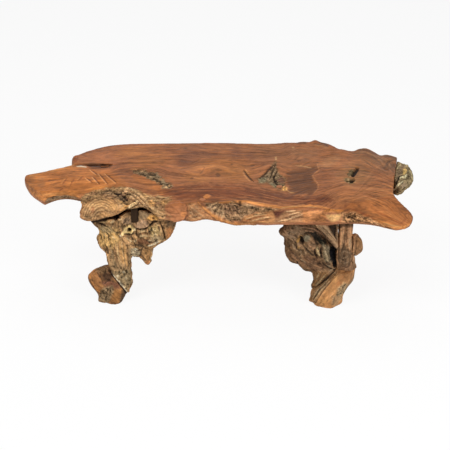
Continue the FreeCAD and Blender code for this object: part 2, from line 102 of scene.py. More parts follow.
# Slab.
# One thick slice of root wood, its top sanded and oiled, its edge left as it grew.
# Bark-side wood shows along its front, and rotted pockets and drying cracks break its top.
def loose_copy(node, voxel, smoothing, kept=1.0):
    """A copy of a solid's skin as an even net to carve; kept is the share left where it faces away."""
    bpy.ops.object.select_all(action="DESELECT")
    nodes[node].select_set(True)
    bpy.context.view_layer.objects.active = nodes[node]
    bpy.ops.object.duplicate()
    piece = bpy.context.object
    bpy.ops.object.parent_clear(type="CLEAR_KEEP_TRANSFORM")
    del piece["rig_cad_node"]
    del piece["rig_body"]
    piece.name = node + "_carved"
    piece.data.name = piece.name
    bpy.ops.object.mode_set(mode="EDIT")
    bpy.ops.mesh.select_all(action="SELECT")
    bpy.ops.mesh.remove_doubles(threshold=0.00002)
    bpy.ops.object.mode_set(mode="OBJECT")
    net = piece.modifiers.new("net", "REMESH")
    net.mode = "VOXEL"
    net.voxel_size = voxel
    bpy.ops.object.modifier_apply(modifier=net.name)
    if kept < 1:
        turned_away = 0.05
        facing = np.empty(len(piece.data.vertices) * 3)
        piece.data.vertices.foreach_get("normal", facing)
        away = piece.vertex_groups.new(name="away")
        away.add(np.nonzero(facing.reshape(-1, 3) @ sight > turned_away)[0].tolist(), 1.0, "REPLACE")
        thin = piece.modifiers.new("thin", "DECIMATE")
        thin.ratio = kept
        thin.vertex_group = away.name
        bpy.ops.object.modifier_apply(modifier=thin.name)
    rub = piece.modifiers.new("rub", "SMOOTH")
    rub.factor = 0.5
    rub.iterations = smoothing
    bpy.ops.object.modifier_apply(modifier=rub.name)
    bpy.ops.object.shade_smooth()
    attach(piece, "root")
    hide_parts(node)
    return piece


def ramp(low, high, value):
    """0 up to low, 1 from high on, and a smooth rise between; high may be below low."""
    share = np.clip((value - low) / (high - low), 0, 1)
    return share * share * (3 - 2 * share)


def wander(places, size, seed, layers=3):
    """Swings between about -1 and 1 that wander over the places; size is one swing's length in metres."""
    total = np.zeros(len(places))
    spots = places / np.array(size, float) + seed * 7.31
    strength = 1.0
    primes = np.array((73856093, 19349663, 83492791))
    top_key = 0xFFFF
    for _ in range(layers):
        cell = np.floor(spots).astype(np.int64)
        part = spots - cell
        part = part * part * (3 - 2 * part)
        for corner in itertools.product((0, 1), repeat=3):
            key = (cell + corner) @ primes + seed * 2654435761
            key = (key ^ (key >> 13)) * 1274126177 & 0xFFFFFFFF
            key = (key ^ (key >> 16)) & top_key
            weight = np.where(corner, part, 1 - part).prod(axis=1)
            total += strength * weight * (key / (top_key / 2) - 1)
        spots = spots * 2.03 + 11.7
        strength /= 2
    return total


def moved(courses, across, down):
    """Drawn courses again, a little across and down."""
    return [[(u + across, v + down) for u, v in course] for course in courses]


class Carving:
    """A piece on the bench: its points, where the drawing shows them, their stain, wear and grain.

    A point takes strokes only if it faces the viewpoint and nothing near it stands well in front of it.
    Strokes measure in the drawing's units, but dig is a depth in metres, below zero for a rise.
    """

    def __init__(self, piece, stain, wear):
        self.mesh = piece.data
        count = len(self.mesh.vertices)
        numbers = np.empty(count * 3)
        self.mesh.vertices.foreach_get("co", numbers)
        self.places = numbers.reshape(-1, 3).copy()
        self.mesh.vertices.foreach_get("normal", numbers)
        self.outward = numbers.reshape(-1, 3).copy()
        self.u, self.v, far = on_drawing(self.places)
        well_in_front = 0.06
        cell = (self.u // 2).astype(int) * drawing_size + (self.v // 2).astype(int)
        nearest = np.full(cell.max() + 1, np.inf)
        np.minimum.at(nearest, cell, far)
        self.shown = ramp(-0.02, 0.12, -(self.outward @ sight)) * (far < nearest[cell] + well_in_front)
        self.ragged = wander(self.places, 0.012, seed=3)
        self.stain = np.tile(np.array(stain, float), (count, 1))
        self.wear = np.full(count, float(wear))
        self.depth = np.zeros(count)
        self.shift = np.zeros((count, 3))
        self.grain = self.places.copy()

    def window(self, corners, margin):
        """The shown points that the drawing has within a margin of the corners."""
        corners = np.array(corners, float)
        low = corners.min(axis=0) - margin
        high = corners.max(axis=0) + margin
        inside = (self.u > low[0]) & (self.u < high[0]) & (self.v > low[1]) & (self.v < high[1])
        return np.nonzero(inside & (self.shown > 0))[0]

    def work(self, picked, mask, stain, strength, dig, wear):
        """Blends a stain, a depth and a wear into the picked points."""
        mask = mask * self.shown[picked]
        share = (mask * strength)[:, None]
        self.stain[picked] += share * (np.array(stain) - self.stain[picked])
        self.depth[picked] += mask * dig
        if wear is not None:
            self.wear[picked] += mask * (wear - self.wear[picked])

    def line(self, stain, width, *courses, strength=0.7, dig=0.0, wear=None, ragged=0.3, blunt=False):
        """Drawn lines that taper at their ends."""
        for course in courses:
            picked = self.window(course, width * 2)
            lengths = [math.dist(one, two) for one, two in zip(course, course[1:])]
            measure = np.full(len(picked), np.inf)
            passed = 0.0
            for (one, two), length in zip(zip(course, course[1:]), lengths):
                run_u, run_v = (two[0] - one[0]) / length, (two[1] - one[1]) / length
                from_u, from_v = self.u[picked] - one[0], self.v[picked] - one[1]
                along = np.clip(from_u * run_u + from_v * run_v, 0, length)
                gap = np.hypot(from_u - along * run_u, from_v - along * run_v)
                share = (passed + along) / sum(lengths)
                half = width / 2 if blunt else width / 2 * np.maximum(4 * share * (1 - share), 0.05) ** 0.4
                measure = np.minimum(measure, gap / half)
                passed += length
            mask = ramp(1.25, 0.6, measure + ragged * self.ragged[picked])
            self.work(picked, mask, stain, strength, dig, wear)

    def spot(self, stain, *spots, strength=0.7, dig=0.0, wear=None, ragged=0.3, soft=0.5):
        """Ovals given by middle, reach along and across, and turn in degrees."""
        for u, v, along, across, turn in spots:
            picked = self.window(((u, v),), 2.2 * max(along, across))
            cos, sin = math.cos(math.radians(turn)), math.sin(math.radians(turn))
            from_u, from_v = self.u[picked] - u, self.v[picked] - v
            run, drift = from_u * cos + from_v * sin, from_v * cos - from_u * sin
            measure = np.hypot(run / along, drift / across)
            mask = ramp(1 + soft / 2, 1 - soft / 2, measure + ragged * self.ragged[picked])
            self.work(picked, mask, stain, strength, dig, wear)

    def patch(self, stain, edge, outline, strength=0.7, dig=0.0, wear=None, ragged=0.3):
        """A filled outline whose border fades over an edge."""
        picked = self.window(outline, 2.5 * edge)
        u, v = self.u[picked], self.v[picked]
        inside = np.zeros(len(picked), bool)
        gap = np.full(len(picked), np.inf)
        for one, two in zip(outline, outline[1:] + outline[:1]):
            crosses = (one[1] > v) != (two[1] > v)
            rise = two[1] - one[1] or 1e-9
            inside ^= crosses & (u < (two[0] - one[0]) * (v - one[1]) / rise + one[0])
            run = np.array(two) - one
            share = np.clip(((u - one[0]) * run[0] + (v - one[1]) * run[1]) / (run @ run), 0, 1)
            gap = np.minimum(gap, np.hypot(u - one[0] - share * run[0], v - one[1] - share * run[1]))
        reach = np.where(inside, gap, -gap) / edge + ragged * self.ragged[picked]
        self.work(picked, ramp(-0.5, 0.5, reach), stain, strength, dig, wear)

    def pull(self, *moves):
        """Draws the piece out or in, like clay: middle and reach, then how far across and down."""
        before_u, before_v = self.u.copy(), self.v.copy()
        for u, v, reach, across, down in moves:
            fade = np.exp(-((before_u - u) ** 2 + (before_v - v) ** 2) / reach ** 2)
            self.u += fade * across
            self.v += fade * down
            self.shift += fade[:, None] * (across * np.array((1, 0, 0)) - down * upward) / drawing_scale

    def turn_grain(self, degrees):
        """Lets the grain run in a direction of the front view, turned up from +X."""
        cos, sin = math.cos(math.radians(degrees)), math.sin(math.radians(degrees))
        x, y, z = self.places.T
        self.grain = np.stack((x * cos + z * sin, y, z * cos - x * sin), axis=1)

    def weather(self, height, size, seed, relief_shade, where=1.0):
        """Random ridges and hollows along the grain, with painted shade in hollows and painted light on
        ridges.
        """
        swing = wander(self.grain, size, seed)
        self.depth += height * where * swing
        # Painted shade and light: the stain darkens in the dug hollows and lightens on the raised ridges.
        self.stain *= (1 - relief_shade * where * np.clip(swing, -0.8, 1.1))[:, None]

    def bend_grain(self, *knots, reach, push):
        """Makes the grain part round knots."""
        for u, v in knots:
            span = np.stack((self.u - u, self.v - v), axis=1)
            fade = np.exp(-(span ** 2).sum(axis=1) / reach ** 2)
            self.grain[:, 1] += push * fade * np.sign(span[:, 1])

    def sweep(self, *courses, reach):
        """Makes the grain of a level face run along drawn courses."""
        run_out = 20
        for course in courses:
            across, down = np.array(course, float).T
            drop = np.interp(self.u, across, down)
            fade = np.exp(-((self.v - drop) / reach) ** 2)
            start = ramp(across[0] - run_out, across[0], self.u)
            fade *= start * ramp(across[-1] + run_out, across[-1], self.u)
            self.grain[:, 1] += fade * (drop - down.mean()) / drawing_scale / math.sin(view_drop)

    def done(self, wood):
        """Puts the carving, stain, wear, grain and wood on the piece; nothing goes below the floor."""
        carved = self.places - self.outward * self.depth[:, None] + self.shift
        carved[:, 2] = np.maximum(carved[:, 2], 0)
        self.mesh.vertices.foreach_set("co", carved.ravel())
        tint = np.column_stack((np.clip(self.stain, 0, 1), np.ones(len(carved))))
        for name, kind, field, values in (
            ("stain", "FLOAT_COLOR", "color", tint),
            ("wear", "FLOAT", "value", self.wear),
            ("grain", "FLOAT_VECTOR", "vector", self.grain),
        ):
            self.mesh.attributes.new(name, kind, "POINT").data.foreach_set(field, values.ravel())
        self.mesh.update()
        self.mesh.materials.clear()
        self.mesh.materials.append(wood)


class Wire:
    """A shader value that takes part in sums."""

    def __init__(self, finish, socket):
        self.finish = finish
        self.socket = socket

    def sum_with(self, operation, one, two):
        return self.finish.node("ShaderNodeMath", {"operation": operation}, {0: one, 1: two})

    def __add__(self, other):
        return self.sum_with("ADD", self, other)

    def __radd__(self, other):
        return self.sum_with("ADD", other, self)

    def __sub__(self, other):
        return self.sum_with("SUBTRACT", self, other)

    def __rsub__(self, other):
        return self.sum_with("SUBTRACT", other, self)

    def __mul__(self, other):
        return self.sum_with("MULTIPLY", self, other)

    def __rmul__(self, other):
        return self.sum_with("MULTIPLY", other, self)

    def larger(self, other):
        return self.sum_with("MAXIMUM", self, other)


def socket_of(sockets, key):
    """The socket in use that has a name, or a place in their row."""
    in_use = [socket for socket in sockets if socket.enabled]
    return in_use[key] if isinstance(key, int) else next(socket for socket in in_use if socket.name == key)


class Finish:
    """The nodes of a material, or of the world, under construction."""

    def __init__(self, owner):
        owner.use_nodes = True
        self.owner = owner
        self.tree = owner.node_tree
        self.tree.nodes.clear()

    def node(self, kind, settings=None, sockets=None, output=0):
        """Adds a node: its settings first, then the values or wires of its sockets."""
        made = self.tree.nodes.new(kind)
        for name, value in (settings or {}).items():
            setattr(made, name, value)
        for key, value in (sockets or {}).items():
            if isinstance(value, Wire):
                self.tree.links.new(value.socket, socket_of(made.inputs, key))
            else:
                socket_of(made.inputs, key).default_value = value
        return Wire(self, socket_of(made.outputs, output)) if made.outputs else None

    def noise(self, place, scale=1.0, detail=3.0, roughness=0.55, distortion=0.0):
        """Soft random clouds, from 0 to 1."""
        return self.node("ShaderNodeTexNoise", None, {
            "Vector": place, "Scale": scale, "Detail": detail, "Roughness": roughness,
            "Distortion": distortion,
        })

    def crisp(self, place, **kind):
        """Clouds with clearer light and dark, still from 0 to 1."""
        return self.between(self.noise(place, **kind), 0.33, 0.67)

    def stretched(self, place, factors, times=1):
        """Places made longer or shorter along each axis."""
        factors = [times * factor for factor in factors]
        return self.node("ShaderNodeVectorMath", {"operation": "MULTIPLY"}, {0: place, 1: factors})

    def between(self, value, low, high, bottom=0.0, top=1.0):
        """A value's run from low to high, spread from bottom to top and held there."""
        return self.node("ShaderNodeMapRange", None, {
            "Value": value, "From Min": low, "From Max": high, "To Min": bottom, "To Max": top,
        })

    def glaze(self, share, colour, tint):
        """A colour seen through a share of a tint."""
        return self.node("ShaderNodeMix", {"data_type": "RGBA", "blend_type": "MULTIPLY"},
                         {"Factor": share, "A": colour, "B": tint})

    def shade(self, colour, value):
        """A colour made lighter or darker."""
        return self.node("ShaderNodeVectorMath", {"operation": "SCALE"}, {0: colour, "Scale": value})

    def wood(self, colour, roughness, height, reach):
        """Ends a material with the wood's own surface: colour, dullness and the relief of its grain."""
        relief = self.node("ShaderNodeBump", None, {"Strength": 1.0, "Distance": reach, "Height": height})
        surface = self.node("ShaderNodeBsdfPrincipled", None, {
            "Base Color": colour, "Roughness": roughness, "Normal": relief, "Specular IOR Level": 0.06,
        })
        self.node("ShaderNodeOutputMaterial", None, {"Surface": surface})
        return self.owner


def root_wood(name, along, dullness, tint, streaks):
    """Stained root wood: streaks along its grain, pores, and crumbly raw places where it is worn."""
    finish = Finish(bpy.data.materials.new(name))
    stain = finish.node("ShaderNodeAttribute", {"attribute_name": "stain"})
    wear = finish.node("ShaderNodeAttribute", {"attribute_name": "wear"}, output="Fac")
    grain = finish.node("ShaderNodeAttribute", {"attribute_name": "grain"}, output="Vector")
    place = finish.node("ShaderNodeTexCoord", output="Object")
    fibres = finish.crisp(finish.stretched(grain, along), detail=4.0, roughness=0.65, distortion=0.9)
    threads = finish.crisp(finish.stretched(grain, along, 2.4), detail=2.0)
    figure = finish.crisp(finish.stretched(grain, along, 0.3), detail=4.0, roughness=0.6, distortion=1.5)
    clouds = finish.crisp(place, scale=12.0)
    mottle = finish.crisp(place, scale=55.0, detail=4.0, roughness=0.6, distortion=0.8)
    crumbs = finish.crisp(place, scale=150.0, roughness=0.6)
    pits = finish.crisp(place, scale=70.0, roughness=0.6, distortion=0.6)
    planed_tone = streaks * (fibres + 0.7 * threads - 0.85)
    raw_tone = crumbs - 0.5 + 1.2 * (pits - 0.52)
    tone = 1.0 + planed_tone + wear * raw_tone
    tone = tone + 0.45 * (figure - 0.5) + 0.22 * (clouds - 0.5) + 0.24 * (mottle - 0.5)
    darkest, lightest = 0.15, 2.15
    toned = finish.shade(stain, finish.between(tone, darkest, lightest, darkest, lightest))
    cooled = finish.glaze(0.45 - 0.45 * figure, toned, tint)
    warmed = finish.glaze(0.6 * threads, cooled, (1.0, 0.9, 0.72, 1))
    worn_dullness = 0.88
    roughness = dullness + wear * (worn_dullness - dullness) + 0.10 * (threads - 0.5)
    height = (fibres + 0.5 * threads) * 0.12 + wear * (0.25 * crumbs + 0.45 * pits)
    return finish.wood(warmed, roughness, height, 0.004)


base_stain = (0.35, 0.152, 0.074)
orange = (0.48, 0.19, 0.06)
# The bright rim colour is orange wood with a painted highlight on it, for lit rims and lips.
rim_highlight = (0.60, 0.26, 0.08)
tawny = (0.42, 0.185, 0.08)
plum = (0.19, 0.085, 0.058)
umber = (0.155, 0.075, 0.045)
rust = (0.26, 0.095, 0.046)
dull_brown = (0.25, 0.145, 0.085)
raw_tan = (0.36, 0.225, 0.11)
raw_grey = (0.21, 0.17, 0.105)
pale_wood = (0.58, 0.39, 0.21)
honey = (0.62, 0.33, 0.12)
deep_shade = (0.018, 0.011, 0.008)

slab_piece = loose_copy("top_slab", voxel=0.0034, smoothing=3, kept=0.55)
slab = Carving(slab_piece, base_stain, wear=0.05)
slab.pull((79.5, 205.5, 5, 2.8, 0), (108, 218, 8, 0, -2), (97, 221, 6, 0, -1.6), (122, 213, 6, 0, -1.4),
    (143, 209, 8, 0, -1.6), (196, 219, 10, 0, 2.6), (214, 220, 10, 0, 3.2), (234, 223, 10, 0, 2.4),
    (262, 224, 12, 0, 0.8), (390, 229, 14, 0, 0.9), (303, 143, 5, 0, -1.6), (331, 144, 4, -1.6, 1.4),
    (357, 148, 4, 0, -1), (27, 180, 9, -2, 0), (408, 217, 11, 2.6, 0), (315, 141, 5, 0, -2.4),
    (330, 148, 7, 0, -3.6), (343, 151, 5, 0, -1.6), (366, 151, 9, 0, -3), (388, 156, 5, 0, -1),
    (354, 149, 3, 0, 1), (380, 155, 4, 0, 1), (74, 158, 4, 0, -1.6), (396, 158, 5, 0, -1))
grow = wander(slab.places, (0.35, 0.05, 0.05), seed=11)
slab.stain *= (1 + 0.10 * grow)[:, None]
drift = [wander(slab.places, (0.10, 0.05, 0.05), seed) for seed in (21, 22, 23)]
slab.grain += 0.005 * np.stack(drift, axis=1)
slab.grain[:, 1] += 0.030 * wander(slab.places, (0.34, 0.30, 0.30), seed=24, layers=2)
slab.sweep([(30, 192), (60, 190), (90, 187), (120, 184), (150, 190), (180, 192)],
    [(100, 150), (130, 146), (170, 144), (220, 146), (280, 150)], [(120, 166), (160, 170), (200, 176),
    (240, 172), (270, 166)], reach=6)
slab.sweep([(180, 192), (210, 189), (240, 190), (262, 195), (284, 201), (306, 202), (326, 197),
    (344, 190)], [(300, 152), (322, 158), (344, 156), (366, 160), (392, 176)],
    [(340, 202), (364, 200), (388, 206), (410, 220)], reach=9)

# The left tongue is the warmest wood, with a dull tip, a bright rim and a groove under its lip.
slab.patch((0.56, 0.225, 0.07), 16, [(26, 176), (60, 165), (76, 163), (112, 172), (124, 186), (95, 192),
    (60, 200), (34, 200)], strength=0.75)
slab.line((0.5, 0.25, 0.1), 5, [(29, 176), (45, 171), (62, 167), (76, 165)], strength=0.6)
slab.spot(dull_brown, (32, 183, 4, 7, 10), (41, 183, 4, 6, 0), strength=0.35)
slab.line((0.5, 0.2, 0.06), 5, [(30, 190), (38, 197), (52, 195), (68, 192), (84, 192.5)], strength=0.6)
slab.patch((0.22, 0.145, 0.085), 1.6, [(44, 203), (46, 199.4), (51, 197), (59, 195.4), (68, 195.4),
    (76, 197.4), (82, 201), (66, 204), (50, 207)], strength=0.95, dig=0.005, wear=0.6, ragged=0.5)
slab.line((0.62, 0.26, 0.08), 2.4, [(33, 192), (39, 198), (44, 200), (50, 196.4), (60, 194), (72, 194.6),
    (80, 197)], strength=0.75)
slab.line(rust, 1.5, [(62, 185), (64, 182), (67, 178)], [(70, 186), (72, 182), (74, 179)],
    [(78, 181), (83, 176)], [(59, 191), (63, 188)], strength=0.75, dig=0.0008)
slab.line((0.56, 0.27, 0.1), 1.4, [(61, 184), (63, 181), (66, 177)], [(69, 185), (71, 181)],
    [(77, 180), (82, 175)], [(34, 194.5), (44, 195), (56, 193.6), (68, 192.6)], strength=0.6)
# Raised tool marks: a painted highlight on each, and painted shade along its right side.
gashes = [[(104, 173.6), (116, 183.6)], [(97.8, 173.6), (106.7, 184.1)], [(91.7, 177), (98.3, 184.1)],
    [(85, 178), (91, 182.5)], [(89.5, 170), (96, 174.7)]]
slab.line((0.78, 0.4, 0.19), 1.7, *gashes, strength=0.95, dig=-0.0016, ragged=0.1)
slab.line((0.2, 0.07, 0.03), 1.7, *moved(gashes, 1.6, 0), strength=0.95, dig=0.0016, ragged=0.1)

# Behind the split the wood is redder, with a dark lip along the back edge.
slab.patch((0.37, 0.15, 0.073), 20, [(74, 157), (100, 148), (150, 142), (180, 143), (170, 170),
    (112, 168), (78, 166)])
slab.line(rust, 3, [(75, 157), (86, 152), (100, 147.5), (120, 144), (150, 142.5), (200, 143),
    (240, 142.5), (300, 143)], [(300, 143.5), (314, 140.5), (324, 143), (336, 148), (352, 150),
    (364, 149), (378, 154), (396, 158)], strength=0.65, blunt=True)
slab.spot(rust, (75.5, 159, 2.2, 3.4, 20), strength=0.8, dig=0.002)
# Painted shade fills the split, and a pale line of painted light at its left end stands for the bright
# floor seen through it.
slab.patch((0.05, 0.022, 0.012), 1.2, [(84, 164.6), (94, 163.8), (104, 163.6), (112, 164.8), (111, 166.6),
    (100, 167.6), (90, 167.2)], strength=0.95, ragged=0.1)
slab.patch(deep_shade, 1.2, [(101, 164), (107, 163.6), (112.5, 165), (107, 167), (101, 167.4)],
    strength=0.95, dig=0.008, ragged=0.1)
slab.line((0.78, 0.74, 0.68), 1.5, [(76.5, 166.6), (81, 166.2), (86.5, 167.2)], strength=0.95, ragged=0.1)
slab.line(umber, 1.6, [(74, 165.6), (80, 165), (90, 163.4), (104, 163.2)],
    [(88, 168), (100, 168.4), (111, 167.4)])

# Rotted pocket in the left of the top: a grey, crumbly band with warm wood round it.
slab.line(orange, 12, [(133, 176), (148, 181), (157, 186), (163, 190), (172, 190)], strength=0.5)
slab.line(raw_grey, 8, [(134, 171), (141, 172.5), (148, 174), (156, 177), (161, 181), (166, 185),
    (173, 186.5)], strength=0.85, dig=0.002, wear=0.85, ragged=0.9)
slab.line(deep_shade, 2.2, [(139, 173), (146, 175)], [(153, 177), (160, 182), (164, 186)],
    [(148, 173), (156, 175)], [(166, 184), (172, 187)], strength=0.75, dig=0.0015, ragged=0.6)
slab.spot(pale_wood, (166, 186.5, 1.1, 0.9, 0), (169, 185, 1.1, 0.9, 0), (163, 184.5, 1, 0.8, 0),
    (171, 187.5, 1, 0.8, 0), (150, 175.5, 1.6, 0.8, 20), (143, 171.5, 1.8, 0.8, 10))

# Growth shadows and small knots over the middle of the top.
slab.spot(plum, (191, 156, 13, 9, -12), (213, 156, 9, 3, 8), (236, 154, 6, 7, 0), (251, 156, 6, 4, 0),
    strength=0.62, soft=1.2)
slab.spot(plum, (184, 164, 7, 4, 20), (371, 155, 7, 3, 10), (268, 160, 9, 5, 0), strength=0.45, soft=1.2)
slab.spot((0.46, 0.205, 0.075), (222, 166, 24, 8, 0), (236, 174, 16, 7, 0), (150, 160, 20, 8, -8),
    (196, 178, 12, 5, 6), (132, 152, 14, 5, -10), strength=0.6, soft=1.3)
slab.line(umber, 1.3, [(191, 163.6), (196, 161.5), (201, 158.6)], [(200, 174), (203, 170.5), (205, 167)],
    [(246, 172.6), (249, 177.6), (252, 180.6)], [(176, 150), (182, 148), (188, 149)],
    [(178, 170), (186, 168), (196, 166)], strength=0.6, dig=0.0008)
slab.line((0.06, 0.03, 0.018), 1.8, [(243.4, 169.4), (247.6, 175.6), (253.8, 181.6)], strength=0.85,
    dig=0.002)
slab.line((0.62, 0.33, 0.16), 1.4, [(242.4, 172), (246, 177.4), (250.6, 181.8)],
    [(245.6, 169.6), (249, 174.6)], dig=-0.001)
slab.spot(umber, (218, 175, 2.4, 1.6, 15), (252.5, 165.3, 2, 1.3, 0), (192, 178, 1.8, 1.2, 0),
    (232, 164, 1.6, 1, 0), dig=0.0008)
slab.bend_grain((218, 175), (252, 165), (207, 196), (148, 175), (272, 176), (353, 175),
    (191, 156), (300, 160), (330, 178), (116, 156), reach=12, push=0.014)

# Rotted pocket in the middle of the top, three-cornered, with open cracks and a chip of new wood.
slab.patch(raw_grey, 3, [(275.5, 158), (277, 166), (279, 174), (286, 178), (285, 184), (288, 188),
    (284, 191), (275, 187), (268, 183), (258, 183), (258, 179), (265, 173), (271, 168)], strength=0.8,
    dig=0.003, wear=0.9, ragged=0.45)
slab.line(deep_shade, 1.8, [(275.6, 163), (270, 168), (263.5, 174.5), (259, 178)],
    [(275, 165), (272, 172), (269.5, 179)], strength=0.85, dig=0.003)
slab.line(deep_shade, 2.6, [(277, 170), (273.5, 176.5), (276.3, 182.4), (281, 187)], strength=0.9,
    dig=0.004)
slab.spot(plum, (281.3, 179.8, 3.6, 3.4, 0), strength=0.8, dig=-0.002, wear=0.2)
slab.spot((0.3, 0.27, 0.17), (262.5, 179.5, 3.4, 2.4, -20), (274, 185, 4.5, 1.5, 25))
slab.spot((0.86, 0.48, 0.18), (284.4, 188.2, 2.8, 2.2, 30), strength=1.0, dig=-0.001, ragged=0.15)
slab.spot(deep_shade, (285, 189.6, 0.9, 0.7, 0), strength=0.8)
slab.line((0.78, 0.44, 0.18), 1.4, [(286, 189.5), (290, 191.5), (295, 193)], strength=0.9)

# The dish right of the middle, dark, with a scalloped step up to the lighter wood beyond it.
dish_lip = [(317, 163.5), (319, 170), (312.5, 175.5), (314.5, 180), (318.5, 184.5), (318, 189),
    (313.5, 193.6), (304, 196.5)]
slab.patch((0.125, 0.056, 0.03), 9, [(288, 168), (304, 166)] + dish_lip + [(292, 194), (286, 182)],
    strength=0.88, dig=0.003)
slab.patch((0.13, 0.056, 0.028), 3, [(306, 168)] + dish_lip[:7] + [(305, 192), (303, 180)], strength=0.5)
slab.patch((0.23, 0.094, 0.048), 7, dish_lip[:7] + [(322, 194), (330, 188), (331, 176), (326, 166)],
    strength=0.6, dig=-0.001)
slab.line((0.46, 0.22, 0.11), 1.6, dish_lip[:7], strength=0.6, dig=-0.0015)
slab.line(pale_wood, 1.2, [(294.5, 165.2), (303, 166), (312, 167.5)], strength=0.45)
slab.spot((0.42, 0.225, 0.12), (331, 161, 12, 4, -22), strength=0.5, soft=1.0)
slab.patch((0.27, 0.135, 0.075), 14, [(252, 144), (300, 144), (318, 146), (318, 163), (290, 168),
    (284, 166), (256, 158)], strength=0.5)
slab.line((0.4, 0.22, 0.12), 1.4, [(283, 149), (296, 150), (308, 148)], [(290, 154), (300, 153),
    (312, 155)], [(322, 160), (330, 157.5), (340, 157)], [(320, 164), (328, 161), (338, 160.5)],
    [(326, 166), (334, 163)], strength=0.4)
slab.line(umber, 1.3, [(284, 158), (296, 160), (310, 159)], [(286, 163), (298, 163.5)],
    [(300, 171), (309, 170)], strength=0.4)
slab.spot(pale_wood, (293, 147.5, 1.2, 1, 0), (276, 158, 1, 1.6, 0), strength=0.6)

# Two open holes in the right of the top, with grey-green rims and olive wood round them.
slab.spot((0.34, 0.2, 0.09), (355, 175, 15, 10, 0), strength=0.45, soft=1.2)
slab.spot((0.17, 0.135, 0.075), (350.8, 173, 4.4, 2.8, -45), (349.6, 180.4, 6, 3, 10), strength=0.9,
    dig=0.002, wear=0.7)
slab.line(deep_shade, 3.8, [(353, 174.8), (355, 172), (357.4, 168.8)], strength=1.0, dig=0.01, ragged=0.1,
    blunt=True)
slab.spot(deep_shade, (352, 180, 2.8, 1.9, -10), (347.4, 180.4, 1.4, 1, 0), strength=1.0, dig=0.01,
    ragged=0.1)
slab.spot(pale_wood, (348.5, 178.8, 1.2, 0.8, 0), (349, 182, 1.6, 0.8, 0), (355, 182, 1, 0.7, 0),
    (350.5, 175.5, 1.3, 0.6, -40), strength=0.6)

# Greyer wood along the back right, and the right tongue, its lower lip bright with a painted highlight.
slab.patch((0.2, 0.115, 0.065), 14, [(356, 151), (378, 155), (396, 159), (399, 170), (390, 172),
    (372, 166), (352, 160)], strength=0.6)
slab.line((0.36, 0.21, 0.125), 1.3, [(370, 154), (380, 160), (390, 170)],
    [(376, 155), (386, 161), (394, 170)], [(364, 157), (374, 163), (383, 172)], strength=0.45)
slab.patch(tawny, 14, [(330, 196), (350, 190), (380, 182), (398, 184), (397, 197), (360, 204),
    (338, 206)], strength=0.5)
slab.patch((0.43, 0.175, 0.062), 12, [(343, 208), (352, 200), (372, 196), (395, 194), (412, 212),
    (414, 222), (402, 231), (384, 229), (362, 217)], strength=0.75)
slab.line(rim_highlight, 4, [(372, 219), (384, 223), (394, 226.5), (404, 227.5), (411, 223)], strength=0.6)
slab.line(pale_wood, 2, [(382, 222.5), (392, 225.5), (402, 226.8)], strength=0.45)
slab.line(rust, 2, [(350, 204), (345, 207), (346, 201)], [(399, 224), (404, 221), (406, 217)],
    [(396, 197.5), (382, 198.5), (366, 196)], strength=0.5)
slab.line((0.5, 0.25, 0.11), 1.4, [(396, 190), (380, 190), (364, 195)], [(398, 194), (384, 195),
    (366, 201)], [(392, 186), (374, 187), (356, 193)], strength=0.4)
slab.line((0.17, 0.055, 0.025), 1.6, [(394, 196), (402, 203), (409, 211), (413, 218), (411, 225),
    (404, 230)], strength=0.8)
slab.line((0.3, 0.095, 0.035), 1.6, [(404, 224), (397, 222), (386, 216), (374, 211)],
    [(350, 208), (362, 213), (374, 219), (384, 224)], strength=0.6, ragged=0.7)
slab.line(rust, 1.2, [(394, 188), (376, 189), (360, 194)], [(404, 208), (388, 204), (370, 206)],
    [(408, 214), (390, 210), (372, 211)], strength=0.35)

# Arched courses of grain on the right tongue, pale and dark by turns.
for step in range(9):
    rise = step * step * 0.62
    slab.line((0.17, 0.08, 0.045) if step % 2 else (0.45, 0.22, 0.11), 1.4,
        [(346 + step, 203 - step), (366 + step, 199 - rise * 0.55 - step),
        (392 + 0.6 * step, 196 - rise)], strength=0.4, ragged=0.8)
# Painted shade along the back edge, where the top turns down away from the light.
slab.line((0.12, 0.07, 0.042), 2, [(318, 141.5), (324, 143.5), (329, 147)],
    [(350, 150.6), (358, 149.4), (366, 149.6), (374, 153)], [(379, 154.6), (388, 156), (396, 159),
    (398, 163)], [(296, 143), (304, 142.6), (310, 141)], strength=0.75, ragged=0.8)
slab.line((0.4, 0.24, 0.13), 1.3, [(312, 144), (322, 146), (330, 149.6)],
    [(356, 152), (366, 152), (376, 156.6)], [(384, 158.6), (393, 161.6)], strength=0.6, ragged=0.7)
slab.line((0.13, 0.075, 0.045), 1.4, [(380, 158), (386, 163), (393, 172)],
    [(372, 156), (380, 163), (386, 171)], [(388, 160), (394, 168)], [(392, 162), (397, 171), (394, 179)],
    [(364, 160), (372, 166)], strength=0.5, dig=0.001, ragged=0.6)

